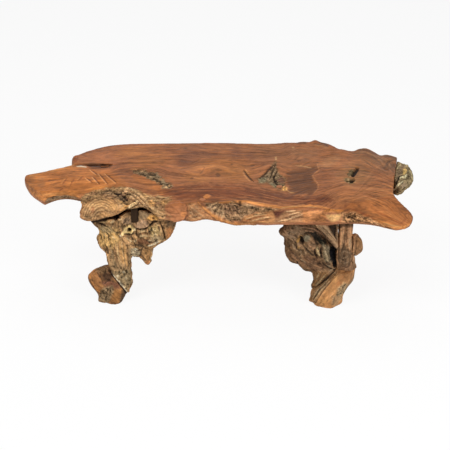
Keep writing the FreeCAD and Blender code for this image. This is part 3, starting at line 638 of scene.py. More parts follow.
# Painted shade over the red-brown band where the top rolls over, and a painted highlight on the lip under
# it.
slab.patch((0.175, 0.056, 0.023), 8, [(160, 191), (180, 186), (200, 184.5), (240, 186), (280, 193),
    (300, 196), (326, 195), (334, 201), (320, 204.5), (300, 203.5), (262, 200), (220, 198.5), (190, 199),
    (168, 197)], strength=0.88)
slab.patch((0.12, 0.042, 0.021), 6, [(244, 190), (276, 194), (300, 198), (326, 196), (333, 201),
    (318, 204), (290, 202.6), (262, 199.6)], strength=0.5)
slab.line(rust, 1.5, [(170, 192), (200, 190), (240, 193), (280, 200)], [(190, 197), (220, 199),
    (250, 196)], [(262, 196), (290, 202), (312, 202)], strength=0.5)
slab.line((0.13, 0.05, 0.026), 1.3, [(164, 190), (180, 192.6), (200, 193), (222, 191)],
    [(176, 187), (200, 189.4), (224, 188.6)], [(238, 190), (258, 194), (276, 199.6), (300, 201.6)],
    [(244, 187.6), (262, 190.6), (280, 196.6), (302, 199), (322, 198)], [(260, 188), (276, 192),
    (290, 196.4), (310, 197), (326, 194)], [(236, 194), (250, 198.6), (262, 201.4), (280, 204)],
    strength=0.6, ragged=0.5)
slab.line((0.4, 0.165, 0.07), 1.2, [(170, 189), (186, 190.6), (206, 191)],
    [(250, 191), (268, 195.4), (284, 200)], [(300, 194.4), (316, 195), (330, 191)],
    [(262, 186.6), (276, 189.6)], [(306, 203), (322, 203), (338, 205.6)], strength=0.55, ragged=0.5)
slab.line((0.44, 0.19, 0.085), 1.2, [(180, 189), (210, 188), (244, 190)],
    [(225, 199), (245, 197), (262, 201), (285, 204)], [(236, 194), (262, 197), (290, 200.5), (320, 200)],
    strength=0.5)
slab.line(rim_highlight, 2.6, [(88, 189.5), (97, 187.5), (108, 186)], [(212, 203.5), (226, 202),
    (238, 201.5), (247, 201), (258, 203.6), (270, 206), (284, 207.3), (296, 206.5), (310, 205.5),
    (322, 207), (332, 209.5), (344, 210.5)], strength=0.75, dig=-0.0015)
slab.line(pale_wood, 1.2, [(280, 208.6), (294, 206.5), (308, 206.6), (320, 207.6)],
    [(248, 202.4), (262, 205)], strength=0.6)
slab.spot((0.7, 0.3, 0.11), (207, 196.4, 3.3, 2, -20), strength=0.9, dig=-0.0012)
slab.line((0.74, 0.33, 0.13), 1.5, [(246, 202), (258, 204.6), (272, 206.6)],
    [(296, 207), (310, 206), (322, 207.4), (334, 209.6)], strength=0.8)

# Bark-side wood at the front left: a crumbly field, a swirl of ridges and the fan-shaped lobe.
slab.patch(raw_tan, 2.6, [(79, 202), (82, 196), (90, 191.5), (100, 190), (108, 187.8), (121.7, 186.6),
    (133.3, 188.3), (141.7, 191.2), (146, 195), (152, 195), (164, 197), (174, 199), (168, 204),
    (164, 208), (166, 215), (160, 226), (76, 226)], strength=0.95, wear=0.8, ragged=0.5)
slab.patch((0.27, 0.18, 0.105), 4, [(98, 193), (110, 190), (124, 189), (130, 196), (122, 200),
    (112, 197)], strength=0.6, wear=1.0)
slab.line(deep_shade, 2.4, [(114.6, 192.4), (117.5, 193.6), (121, 193.4)],
    [(122, 195), (125.6, 197), (127, 199)], strength=1.0, dig=0.006, blunt=True)
slab.line((0.06, 0.04, 0.028), 1.6, [(117, 194), (120, 198), (124, 201), (126.6, 205)],
    [(120, 196.6), (124, 198), (128, 201.6)], [(113, 191), (109, 190.6), (104, 191.6)], strength=0.85,
    dig=0.004, ragged=0.7)
slab.line((0.56, 0.33, 0.13), 1.4, [(118.6, 200), (122, 203), (125.6, 206.6)],
    [(122, 192), (126, 194.6), (130, 198.6)], strength=0.75, dig=-0.002, ragged=0.5)
slab.line(umber, 1.6, [(120, 193), (124, 195), (127, 198)], [(122, 191), (127, 194), (129, 198)],
    [(100, 195), (108, 193)], [(86, 199), (92, 194), (99, 192)], [(104, 196), (112, 195.5), (118, 198)],
    dig=0.0015, ragged=0.6)
# Raised swirl ridges with a painted highlight, and painted shade just below each.
swirls = [[(119, 188.5), (130.6, 189), (139, 194), (145, 200), (152, 209)],
    [(124, 191.3), (134, 193.8), (141.7, 201), (147.5, 207)], [(128, 195.5), (135, 199), (141, 205)]]
slab.line(pale_wood, 2.2, *swirls, strength=0.85, dig=-0.003)
slab.line(umber, 1.5, *moved(swirls, -1, 2), dig=0.002)
slab.patch((0.44, 0.255, 0.12), 2, [(80, 217), (81.7, 210.3), (84.2, 207), (87.5, 202), (93.3, 198.7),
    (102.5, 197.8), (111.7, 198.7), (116.7, 203.7), (123, 207), (128, 208.5), (121, 212), (112, 216),
    (103, 218), (95, 221), (84, 221)], strength=0.9, dig=-0.005, wear=0.45)
slab.line(umber, 1.4, [(82, 209), (87, 202.5), (94, 198.5), (104, 197.6), (112, 198.6), (118, 204)],
    strength=0.75, dig=0.003)

# Ridges that spread over the lobe like a shell's.
hinge_u, hinge_v = 101, 220
turns = np.radians(range(10, 151, 20))
arcs = [[(hinge_u - 19 * share * math.cos(turn), hinge_v - 23.5 * share * math.sin(turn)) for turn in turns]
    for share in (0.24, 0.38, 0.5, 0.62, 0.73, 0.84, 0.95)]
slab.line((0.21, 0.12, 0.062), 1.5, *arcs, dig=0.0016)
slab.line((0.66, 0.44, 0.23), 1.4, *moved(arcs, 0.9, 1.5), strength=0.5, dig=-0.0012)
slab.spot(rust, (93, 210, 1.7, 2.6, 0), strength=0.6)
slab.spot(honey, (113, 208, 4, 3, 30), (104, 214, 5, 2.4, -10), strength=0.4, soft=1.0)

# Round the lobe: warm wood, its dark foot, a pale splinter and small ridges on its right.
slab.patch((0.42, 0.2, 0.085), 2, [(79, 202), (84, 204), (82.5, 210), (83, 216), (90, 219.5), (84, 221),
    (78, 217)])
slab.line(honey, 3, [(120, 209.5), (126, 207), (132, 205.5)], dig=-0.002)
slab.line(deep_shade, 1.5, [(94, 221), (98, 219.4), (104, 217.4), (110, 216.2), (116, 214.8), (122, 212),
    (128, 208.8), (134, 206.8)], strength=0.95, blunt=True)
slab.line((0.95, 0.68, 0.36), 2.2, [(128, 208), (133, 204.8), (138, 201.6)], strength=1.0, dig=-0.005,
    ragged=0.15)
slab.line(deep_shade, 1.6, [(123, 203), (128, 204.5), (132, 203)], [(132, 207.6), (136.6, 205),
    (139.6, 202)], strength=0.8, dig=0.003)
slab.line(pale_wood, 1.3, [(146, 196), (152, 198.5), (158, 196.5), (165, 198), (172, 196.5)],
    [(150, 200), (157, 200.5)], dig=-0.0015)
slab.line(umber, 1.3, [(147, 198.5), (154, 196.6), (161, 198.6), (169, 199)], strength=0.65, dig=0.0015)
slab.spot(honey, (152, 204, 4, 3, 20), (164, 203, 3, 2.4, 0), strength=0.6, soft=0.9)
slab.spot(umber, (158.6, 206, 4.6, 3.4, 25), strength=0.8, dig=0.002)
slab.spot(raw_tan, (158.6, 206, 2.6, 1.8, 25), strength=0.8, dig=-0.002)
slab.line(pale_wood, 1.6, [(151, 207), (156, 210.5), (163, 213.5), (166, 215)], strength=0.75, dig=-0.002)

# Front middle: a smooth red lump, a streaky leaf, an orange ridge, then a grey fan in a hollow.
slab.patch((0.5, 0.21, 0.094), 4, [(165, 206), (171, 204), (180, 202), (186, 206), (187, 213),
    (183, 219.5), (176, 221.6), (171, 220), (167, 216), (170, 212.6), (166, 209.6)], strength=0.9,
    dig=-0.006, wear=0.15)
slab.line((0.45, 0.24, 0.11), 2.6, [(160, 212), (166, 213), (172, 216)],
    [(158, 217), (165, 218.6), (172, 220.4)], ragged=0.7)
slab.line(rust, 1.2, [(170, 206), (176, 209), (180, 214)], [(168, 212), (173, 215), (176, 219)],
    strength=0.5)
slab.spot((0.66, 0.27, 0.1), (183.4, 213.5, 3, 2.6, -30), strength=0.85)
# Painted shade along the lump's right edge.
slab.line(umber, 1.6, [(187.5, 207), (188, 214), (184.5, 219.5), (178, 221.5)], dig=0.003)
slab.patch((0.41, 0.205, 0.095), 2.5, [(187, 203), (197, 203), (204, 210), (214, 218), (222, 223),
    (186, 223), (189, 214)], strength=0.85, wear=0.4)
slab.line((0.5, 0.33, 0.18), 1.1, [(189, 205), (196, 211), (205, 218)], [(188, 210), (194, 215),
    (203, 220)], [(193, 204), (199, 209)], [(189, 216), (197, 220)], strength=0.6, dig=-0.001)
slab.line((0.2, 0.12, 0.065), 1.1, [(190, 208), (197, 214), (206, 220.5)], [(189, 213), (196, 218)],
    [(195, 205), (200, 210)], strength=0.6, dig=0.001)
slab.patch((0.35, 0.225, 0.125), 2.4, [(204, 203), (214, 203.6), (238, 202.6), (247, 203), (258, 206),
    (282, 209), (272, 211.5), (256, 212.5), (246, 217), (240, 222), (228, 221), (212, 213)],
    strength=0.92, dig=0.005, wear=0.85)

# The fan's ribs spread from its root, pale and raised by turns with dark and sunk.
root_u, root_v = 224, 199
for step in range(17):
    angle = math.radians(20 + 8.4 * step)
    reach = 19 + 3 * math.sin(5.1 * step)
    tip = (root_u + 1.25 * reach * math.cos(angle), root_v + reach * math.sin(angle))
    start = (root_u + 7 * math.cos(angle), root_v + 5 * math.sin(angle))
    slab.line((0.5, 0.34, 0.19) if step % 2 else (0.11, 0.075, 0.05), 1.2, [start, tip], strength=0.75,
        dig=0.0014 * (-1) ** step)

slab.patch(umber, 4, [(219, 204), (240, 203.5), (242, 208), (234, 215), (226, 214)], strength=0.5)
slab.spot(deep_shade, (240, 203, 1.8, 2, 0), strength=0.85, dig=0.003)
slab.line((0.56, 0.25, 0.085), 3, [(198, 202.5), (203.8, 208), (212, 214.5), (222, 220.5), (233, 223.5),
    (246, 224.4), (256, 224)], strength=0.9, dig=-0.004, wear=0.15)
slab.line(umber, 1.2, [(200, 205.5), (206, 211.5), (215, 218.5), (226, 223.5)], strength=0.6)

# Front right: the eye knot, straw-coloured streaks, red-brown wood, a pale wedge, the pitted underside.
slab.spot(raw_tan, (263, 209.4, 5, 2.2, 4), strength=0.85, dig=-0.002)
slab.spot(umber, (263, 209.4, 3, 1.3, 4), strength=0.9, dig=0.002)
slab.spot(pale_wood, (263, 209.4, 1.2, 0.7, 0), strength=0.6)
slab.patch((0.5, 0.25, 0.105), 2.5, [(244, 217), (256, 213), (272, 211.5), (276, 216), (274, 223),
    (240, 224)], strength=0.85, wear=0.35)
slab.line((0.74, 0.47, 0.24), 1.3, [(246, 219), (256, 215.5), (268, 214)],
    [(250, 221.5), (262, 218), (272, 216.5)], [(254, 214.8), (264, 212.6)], strength=0.85, dig=-0.0015)
slab.line(rust, 1.3, [(248, 220.3), (258, 216.8), (270, 215.2)], [(256, 222), (268, 219)],
    [(243, 222.6), (250, 219.4)], strength=0.75, dig=0.001)
slab.patch((0.09, 0.031, 0.023), 3, [(273, 211.4), (290, 209.8), (303, 211), (300, 216), (288, 219.6),
    (276, 219.6)], strength=0.88, wear=0.3)
slab.patch((0.38, 0.205, 0.1), 3, [(286, 210.5), (303, 210), (304, 222), (274, 223), (276, 219)],
    strength=0.75, wear=0.45)
slab.line((0.7, 0.46, 0.26), 1.3, [(286, 211.6), (296, 210.6)], [(288, 215), (298, 212.6)],
    [(284, 221), (294, 217), (302, 214.5)], [(278, 221.5), (288, 219)], [(292, 213.6), (300, 212)],
    strength=0.8, dig=-0.0015)
slab.line(umber, 1.1, [(280, 219.5), (292, 215.5), (301, 212.5)], [(286, 222), (296, 218.6), (304, 216)],
    strength=0.55, dig=0.001)
slab.patch((0.52, 0.23, 0.09), 3, [(303, 211), (326, 211), (326, 222), (303, 222)], strength=0.75,
    wear=0.25)
slab.line((0.3, 0.14, 0.07), 1.1, [(303, 219), (314, 216), (325, 217)], [(306, 213.6), (318, 212.8)],
    strength=0.5)
# Painted highlight along the orange rim.
slab.line(rim_highlight, 3.4, [(324, 211), (333, 210.8), (343, 211.6)])
slab.patch((0.62, 0.37, 0.155), 2, [(325, 215), (342, 214), (339, 221), (331, 221.6)], strength=0.85,
    wear=0.35)
slab.line(umber, 1.2, [(325, 213.6), (334, 213.4), (343, 213.6)], [(322, 217), (328, 221)], strength=0.5)
slab.patch((0.42, 0.225, 0.107), 2.2, [(342, 212), (354, 211.6), (362, 214), (370, 217), (377, 222),
    (388, 227), (396, 231), (376, 229), (352, 224.6), (341, 223)], strength=0.9, wear=1.0, dig=0.003,
    ragged=0.5)
slab.line((0.52, 0.3, 0.13), 1.4, [(348, 214), (356, 217), (364, 221)], [(346, 219), (356, 222)],
    strength=0.6, ragged=0.8)
slab.line((0.09, 0.05, 0.03), 1.4, [(344, 216), (352, 218.6), (360, 222.6), (368, 224)],
    [(352, 213.4), (360, 216.5), (366, 219.6)], [(343, 221), (352, 223)], strength=0.75, dig=0.002,
    ragged=0.9)

# Oil deepens and warms every stain.
# Raw wood gets crumbly relief, the rest only the slow swell of a hand-sanded surface.
oiled = np.clip(slab.outward[:, 2], 0, 1) * (1 - slab.wear)
slab.stain *= 1 - oiled[:, None] * np.array((0.11, 0.19, 0.33))
raw = ramp(0.3, 0.9, slab.wear)
slab.weather(0.0024, (0.022, 0.012, 0.012), seed=31, relief_shade=0.3, where=raw)
slab.weather(0.0004, (0.16, 0.014, 0.014), seed=32, relief_shade=0.1, where=1 - raw)
slab.weather(0.0002, (0.07, 0.007, 0.007), seed=34, relief_shade=0.07, where=1 - raw)
pitted = raw * ramp(0.25, 0.8, wander(slab.places, 0.010, seed=33))
slab.depth += 0.0020 * pitted
slab.stain *= (1 - 0.5 * pitted)[:, None]
slab.done(root_wood("oiled_slab", (10, 60, 60), dullness=0.45, tint=(0.80, 0.66, 0.60, 1), streaks=0.62))


# Burl.
# A rough grey-green lobe pegged against the slab's right edge, brushed but never sanded.
burl_piece = loose_copy("right_burl", voxel=0.0020, smoothing=2)
burl = Carving(burl_piece, (0.235, 0.175, 0.10), wear=0.75)
burl.pull((407, 193, 6, -2.2, -2.4), (400, 199, 4, -1, -2), (401, 162, 5, 1, 2.6), (412, 178, 5, 1, 0))
burl.turn_grain(40)
burl.weather(0.0022, (0.05, 0.012, 0.012), seed=41, relief_shade=0.3)
burl.weather(0.0012, 0.007, seed=42, relief_shade=0.18)
burl.patch((0.2, 0.13, 0.085), 2, [(396, 171), (399, 166), (404, 164), (406, 168), (401, 175), (398, 181),
    (395, 186)], strength=0.6)
burl.line((0.46, 0.37, 0.22), 2, [(397, 168.5), (399, 166.3), (401, 164.8)], [(404, 164.4), (407.5, 166)],
    dig=-0.002)
burl.spot((0.55, 0.36, 0.13), (404.8, 171.5, 1.9, 3.6, 12), strength=0.9, dig=-0.003, wear=0.3)
burl.line((0.62, 0.55, 0.36), 2, [(399.5, 178.6), (402, 177.3), (405, 176.8), (407, 174.5)],
    [(393.8, 190), (397, 186.4), (400, 183.3), (403, 182)], strength=0.85, dig=-0.003)
burl.line(deep_shade, 1.8, [(402.6, 175), (399.5, 176.5), (397.6, 180), (395.4, 185)],
    [(397, 182.5), (393.4, 189), (393, 193)], strength=0.85, dig=0.003)
burl.line((0.11, 0.09, 0.055), 1.6, [(400, 181), (405, 179.6), (410, 176)],
    [(397, 189.5), (402, 187), (408, 182.5)], [(408, 170), (410, 175)], dig=0.002)
burl.spot((0.33, 0.24, 0.16), (403.5, 185.5, 3.5, 2.4, -35))
burl.line((0.4, 0.34, 0.2), 1.8, [(409, 170), (412, 175.5), (412.6, 180)], [(395.5, 195), (400, 192.5)],
    strength=0.6)
burl.done(root_wood("raw_burl", (24, 90, 90), dullness=0.62, tint=(0.8, 0.85, 0.75, 1), streaks=0.6))


# Left stump.
# A broad grey-tan mass of root with open cracks, a ring knot and a hanging spur, brushed clean.
# Dowels and a squared tenon hold it under the slab.
left_piece = loose_copy("left_stump", voxel=0.0025, smoothing=2)
left = Carving(left_piece, (0.35, 0.205, 0.098), wear=0.6)
left.pull((128.6, 216.6, 3.2, 2.6, -0.4), (96, 232, 4, 2.6, 0), (102.6, 247, 5, -3, 0),
    (140, 260, 4, 0, -2.6), (132, 283, 3.4, 2, 0))
left.turn_grain(-72)
left.weather(0.004, (0.16, 0.028, 0.028), seed=51, relief_shade=0.22)
left.weather(0.0022, (0.04, 0.012, 0.012), seed=52, relief_shade=0.42)
left.weather(0.0015, 0.009, seed=54, relief_shade=0.4)
left.patch((0.72, 0.45, 0.18), 5, [(95, 229), (106, 226), (118, 230), (119, 242), (112, 248), (101, 246)],
    strength=0.85)
left.patch((0.27, 0.18, 0.1), 6, [(108, 262), (131, 262), (134, 281), (127, 294), (116, 284)],
    strength=0.6)
left.patch((0.3, 0.24, 0.145), 4, [(98, 225), (112, 226), (114, 233), (102, 233)], strength=0.65)
left.line((0.54, 0.37, 0.18), 3, [(96, 221), (103, 221.5), (110, 220.5)], dig=-0.003)
left.line(deep_shade, 2.6, [(91, 222), (97, 221.4), (104, 219.8), (110, 218.4), (117, 216.6)],
    strength=0.95, blunt=True)
left.line(deep_shade, 1.8, [(95, 222.6), (100, 224.4), (108, 227.4)], strength=0.85, dig=0.004)
left.line(deep_shade, 3, [(96.4, 219.6), (104.2, 216.8), (114.2, 216), (120, 213.8), (126.4, 210),
    (131, 207), (138, 208.6), (144.2, 208), (151, 209.8), (157, 213)], strength=0.9, dig=0.002,
    blunt=True)
left.line((0.17, 0.11, 0.06), 1.6, [(116, 221), (121, 223), (122, 228), (117, 231)],
    [(117, 225), (119.5, 227)], [(112, 229), (116, 233), (121, 233)], [(111, 222), (113, 226)],
    strength=0.75, dig=0.0025)
left.spot((0.44, 0.29, 0.18), (127.6, 221, 5, 3.6, 0), strength=0.8, dig=-0.003, wear=0.25)
left.patch((0.3, 0.215, 0.13), 3, [(139, 210.5), (149, 211), (152, 215), (146, 219), (139, 220)],
    strength=0.75, wear=0.4)
left.spot((0.46, 0.29, 0.18), (141.8, 224, 7.2, 4.6, -8), strength=0.9, dig=-0.007, wear=0.15)
left.line(deep_shade, 2.6, [(134.5, 228), (139, 229.6), (144.5, 229.4), (149.8, 226.1), (153.2, 222.6),
    (158.7, 220.6)], strength=0.95, dig=0.007)
left.patch((0.95, 0.52, 0.17), 1.6, [(146.6, 218.4), (150, 214.8), (157.4, 215), (157, 219.4),
    (150, 220.8)], strength=1.0, dig=-0.004, wear=0.3)
left.spot((0.2, 0.08, 0.03), (153.1, 217.8, 1.5, 1.2, 0), strength=0.9, dig=0.002)
left.line((0.1, 0.06, 0.035), 1.6, [(146, 213), (151, 212), (157, 214)],
    [(147, 219), (151, 221), (156, 220.4)], strength=0.8, dig=0.003)
left.line(deep_shade, 1.8, [(159.8, 221.4), (162, 227), (164.6, 233), (166.2, 240)], strength=0.9,
    dig=0.005)
left.line((0.46, 0.32, 0.17), 1.6, [(156, 223), (160, 229), (162.5, 236)], strength=0.6)
left.patch((0.44, 0.2, 0.08), 2.5, [(166.6, 229), (171, 227), (174, 233), (171, 241), (167, 241.6)],
    strength=0.85, wear=0.2)
left.patch((0.09, 0.06, 0.04), 2.5, [(165, 217), (180, 217), (176, 226), (167, 227)], strength=0.75)
left.spot((0.12, 0.075, 0.045), (129.2, 229.8, 7, 6, 10), dig=0.002)
left.spot((0.86, 0.62, 0.28), (129.2, 229.6, 4.7, 4.1, 10), strength=0.95, dig=-0.005, wear=0.2)
left.spot(deep_shade, (129.2, 229.9, 2.4, 2.1, 0), strength=1.0, dig=0.012, ragged=0.1)
left.line((0.8, 0.6, 0.3), 3.6, [(127, 229.5), (124.6, 231.4), (121, 236)], strength=0.9, dig=-0.003)
left.spot((0.85, 0.78, 0.6), (120.5, 235.4, 1.2, 1, 0), (134.6, 229.6, 1.4, 1.2, 0), strength=0.8)
left.line((0.62, 0.45, 0.22), 2, [(131.5, 227.4), (134.5, 229), (135.5, 231)], strength=0.75, dig=-0.002)
left.line(deep_shade, 2.2, [(136, 230), (136.6, 234.4), (139, 238)], [(124, 233.8), (127, 234.5),
    (131, 234)], strength=0.85, dig=0.005)
left.line((0.2, 0.12, 0.065), 1.6, [(124, 236), (128, 238), (133, 237)], [(122, 239.5), (125, 242)],
    [(132, 241), (137, 243.5)], dig=0.002)
left.line((0.5, 0.36, 0.2), 2, [(138.6, 233), (142, 231), (147, 231.6)],
    [(139.6, 237), (143, 235), (148, 236.6)], strength=0.75, dig=-0.003)
left.line(umber, 1.4, [(139, 235.2), (143, 233), (148, 233.8)], dig=0.003)
left.patch((0.47, 0.34, 0.155), 4, [(149, 228), (157, 225), (161, 234), (152, 238)], strength=0.75,
    wear=0.9)
left.patch((0.36, 0.28, 0.17), 4, [(151, 238), (161, 235), (165, 240), (154, 244)], wear=0.9)
left.line((0.66, 0.57, 0.41), 1.6, [(148, 246.6), (153, 244.6), (160, 242)], strength=0.75, dig=-0.002)
left.patch((0.2, 0.085, 0.045), 3, [(135, 239.5), (144, 238.6), (151, 240), (149, 245), (139, 245)],
    strength=0.75, wear=0.3)
left.line((0.52, 0.29, 0.115), 3, [(119, 240), (121, 252), (124, 264)], [(124, 243), (125, 254),
    (127, 266)])
left.line((0.55, 0.38, 0.19), 1.4, [(121.6, 242), (123, 254), (125.5, 264)],
    [(116.6, 242), (118, 254), (121, 266)], strength=0.6, dig=-0.0015)
left.line((0.26, 0.18, 0.1), 3, [(110, 244), (112.5, 256), (116, 268)], [(129.5, 246), (130, 258),
    (130.6, 270)], strength=0.75, dig=0.0015)
left.line((0.15, 0.09, 0.05), 1.3, [(114, 243), (116, 256), (119.5, 268)],
    [(122.8, 246), (124, 256), (126, 268)], [(127.6, 244), (128, 256), (129, 266)], dig=0.0025)
left.patch((0.5, 0.45, 0.32), 2.5, [(131, 248), (139, 247), (140, 255), (132, 258)], strength=0.65,
    wear=1.0, ragged=0.6)
left.line((0.14, 0.1, 0.07), 1.4, [(133, 250), (136, 252), (139, 251)], [(133, 254.5), (137, 254)],
    strength=0.75, dig=0.003)
left.spot((0.78, 0.7, 0.52), (123.7, 272.2, 1.4, 1, 30), (126.5, 279, 1.2, 1.2, 0),
    (118.2, 275.6, 1.2, 1, 0), (135.5, 249, 1.2, 0.9, 0), strength=0.85)
left.patch((0.27, 0.21, 0.12), 4, [(112, 270), (130, 270), (133, 281), (127, 292), (118, 281)],
    strength=0.6, wear=0.9)
left.line((0.66, 0.58, 0.42), 2.2, [(110.5, 272), (118.3, 281), (126.6, 291.6)], strength=0.8, dig=-0.001,
    blunt=True)
left.patch((0.38, 0.21, 0.09), 2.5, [(140.5, 250), (152, 247), (153, 255), (148.5, 264.5), (144, 258)],
    strength=0.85, wear=0.35)
left.line((0.17, 0.1, 0.055), 2, [(138.5, 248), (141, 254), (146, 261)], strength=0.8, dig=0.003)
left.line((0.6, 0.44, 0.25), 1.5, [(151, 248.6), (152.4, 254.4), (149.6, 262)], strength=0.75)
left.spot((0.52, 0.22, 0.09), (148.2, 262, 2, 2.4, 0))
# Painted shade stains the cracks near black, and the pale raised edges beside them carry a painted
# highlight.
left.line((0.07, 0.045, 0.03), 1.8, [(112, 222), (116, 219), (121, 217.6)],
    [(122, 225), (125, 222), (126, 218)], [(106, 232), (109, 236), (108, 241)],
    [(146, 240), (150, 243), (156, 242)], [(134, 232), (131, 236), (133, 240)],
    [(148, 229), (150, 234), (154, 236)], [(158, 226), (160, 231)], [(132, 246), (137, 245), (143, 247),
    (147, 249)], [(143, 247.6), (141, 251), (139.6, 256)], [(99, 234), (101, 237), (100, 241)],
    [(104, 243), (107, 248), (108, 254)], [(116, 232), (120, 238)], strength=0.8, dig=0.003, ragged=0.7)
left.line((0.62, 0.47, 0.27), 1.6, [(110, 223), (114, 221)], [(119, 219.6), (122, 219)],
    [(103, 234), (106, 238)], [(148, 241.6), (152, 240)], [(150, 231), (153, 229.6), (156, 231)],
    [(152, 236), (157, 234.6)], [(127, 238), (132, 242)], [(134, 242), (137, 238.6)],
    [(112, 236), (116, 240)], [(100, 229), (104, 231)], strength=0.75, dig=-0.002, ragged=0.7)
left.done(root_wood("weathered_stump", (26, 80, 80), dullness=0.60, tint=(0.74, 0.70, 0.62, 1),
    streaks=0.8))


# Left foot.
# A squat block pegged under the front shin, sanded on its left and rough on its right.
left_foot_piece = loose_copy("left_foot", voxel=0.0020, smoothing=2)
left_foot = Carving(left_foot_piece, (0.26, 0.13, 0.058), wear=0.35)
left_foot.pull((99, 301, 4, -3, 1), (119, 301, 3.5, 1.2, 1.4))
left_foot.turn_grain(-50)
left_foot.weather(0.0022, (0.07, 0.022, 0.022), seed=71, relief_shade=0.2)
left_foot.weather(0.0008, (0.02, 0.008, 0.008), seed=72, relief_shade=0.15)
left_foot.patch((0.42, 0.195, 0.075), 5, [(88, 274), (96, 269), (101, 280), (103, 290), (98, 290)],
    strength=0.8, wear=0.1)
left_foot.patch((0.29, 0.185, 0.1), 3, [(95, 269), (104, 265), (110, 269), (106, 273), (98, 273)],
    wear=0.7)
left_foot.spot((0.07, 0.04, 0.026), (107, 276.5, 6, 5, 20), strength=0.85, dig=0.005, soft=0.9)
left_foot.patch((0.19, 0.08, 0.05), 3, [(100, 282), (108, 281), (119, 283), (120, 289), (108, 288)],
    strength=0.8)
left_foot.line((0.3, 0.14, 0.09), 1.4, [(102, 283.5), (108, 282.4), (116, 284)], strength=0.6)
left_foot.patch((0.28, 0.2, 0.115), 3, [(99, 294), (104, 287), (113, 286), (115, 292), (108, 303),
    (98, 302)], strength=0.85, wear=1.0)
left_foot.line((0.12, 0.08, 0.05), 1.3, [(103, 290), (107, 293), (106, 299)], [(110, 287), (110, 294)],
    [(100, 296), (103, 300)], dig=0.002)
left_foot.line(deep_shade, 1.8, [(97, 289.5), (101, 293.6), (104, 290)], strength=0.6, dig=0.004)
left_foot.patch((0.4, 0.19, 0.065), 3, [(114, 290), (121, 288), (124, 295), (119, 303), (110, 303)],
    strength=0.8, wear=0.2)
left_foot.patch((0.1, 0.07, 0.045), 2.5, [(122, 290), (127, 291), (125, 299), (119, 304), (119.6, 299)],
    strength=0.8)
left_foot.line(deep_shade, 2.4, [(109, 270), (117.5, 281), (126, 292.5)], strength=0.9, dig=0.002,
    blunt=True)
# Painted highlight along the foot's orange left edges.
left_foot.line(rim_highlight, 2, [(90, 279), (90.4, 272.6), (95, 269)], [(91, 281), (95, 287),
    (99.4, 292.6)], strength=0.6)
left_foot.line((0.06, 0.035, 0.024), 1.6, [(97, 272), (100, 277), (103, 282)],
    [(104, 284), (109, 280), (114, 282)], dig=0.002, ragged=0.6)
left_foot.done(root_wood("left_foot_wood", (26, 80, 80), dullness=0.5, tint=(0.78, 0.7, 0.6, 1),
    streaks=0.5))


# Right stump.
# A dark, lumpy mass of root with pockets between its lobes.
# Dowels hold it under the slab.
right_piece = loose_copy("right_stump", voxel=0.0025, smoothing=2)
right = Carving(right_piece, (0.19, 0.115, 0.062), wear=0.5)
right.pull((278, 224, 4, 5.6, 1), (281, 233, 4, -1.6, 0), (305, 267, 5, -0.8, 3), (312, 272, 3.4, 1.6, 0),
    (314, 285, 4, -2.6, 0), (288, 261, 4, -1, 1.4))
right.turn_grain(-38)
right.weather(0.0045, (0.14, 0.03, 0.03), seed=61, relief_shade=0.25)
right.weather(0.0018, (0.045, 0.012, 0.012), seed=62, relief_shade=0.36)
right.weather(0.0014, 0.009, seed=64, relief_shade=0.38)
right.line(deep_shade, 3.4, [(285, 223.6), (300, 224), (323, 223.4)], strength=0.9, blunt=True)
right.patch((0.27, 0.16, 0.095), 4, [(279, 228), (287, 225), (290, 233), (285, 240)])
right.line((0.33, 0.2, 0.12), 2, [(284, 226), (286, 234), (287, 241)], strength=0.5)
right.patch((0.32, 0.215, 0.135), 5, [(286, 227), (303, 226), (304, 235), (294, 239), (287, 237)],
    strength=0.75)
right.line((0.3, 0.17, 0.105), 2, [(300, 227), (314, 229), (324, 235), (334, 244)],
    [(304, 230.5), (314, 232.6), (325, 240)], strength=0.65, dig=-0.002)
right.line((0.11, 0.065, 0.04), 1.5, [(302, 229), (314, 231), (325, 237.6), (334, 247)],
    [(298, 226), (312, 226.6), (322, 231)], strength=0.75, dig=0.003)
right.spot(deep_shade, (301.6, 241, 2.4, 3.8, -15), strength=1.0, dig=0.014, ragged=0.2)
right.spot((0.46, 0.25, 0.08), (298, 240.4, 1.6, 1.8, 0), strength=0.8, dig=-0.003)
right.spot((0.4, 0.22, 0.08), (298.4, 247.4, 1.3, 1.2, 0), (300.5, 236.6, 2, 1, -10), strength=0.75)
right.spot((0.235, 0.205, 0.14), (306.8, 238.6, 3.8, 3.2, 20), strength=0.85, dig=-0.006, wear=0.3)
right.patch((0.3, 0.18, 0.105), 3, [(308, 239), (314, 237.6), (317, 244), (314, 251), (309, 249)],
    strength=0.8, dig=-0.005)
right.line((0.13, 0.08, 0.045), 1.4, [(310.6, 241), (312, 245), (310.6, 249)],
    [(304, 243), (307, 247), (306, 251)], dig=0.003)
# Painted shade: the crevices between the lobes are stained near black and sunk.
right.patch((0.02, 0.018, 0.015), 2.4, [(310, 234), (316, 232.6), (322.6, 237), (321.6, 242),
    (314.6, 240.6)], strength=0.92, dig=0.008, ragged=0.6)
right.patch((0.03, 0.032, 0.024), 2.4, [(319.6, 239), (326, 238.6), (326.6, 246), (322, 248.6)],
    strength=0.9, dig=0.006, ragged=0.6)
right.line((0.17, 0.16, 0.11), 1.3, [(322, 240.6), (324, 243), (323, 247)], strength=0.6, dig=-0.003)
right.line((0.5, 0.37, 0.2), 2.6, [(317, 246), (317.6, 251), (319.6, 256)], strength=0.9, dig=-0.006)
right.line(deep_shade, 2, [(320.2, 248), (321.4, 253), (321.4, 258)], [(314.6, 249), (315, 254),
    (318, 259)], strength=0.9, dig=0.005)
right.patch((0.27, 0.215, 0.135), 3, [(322, 246), (329, 244), (333, 252), (332, 263), (325, 262)],
    strength=0.8, wear=0.4)
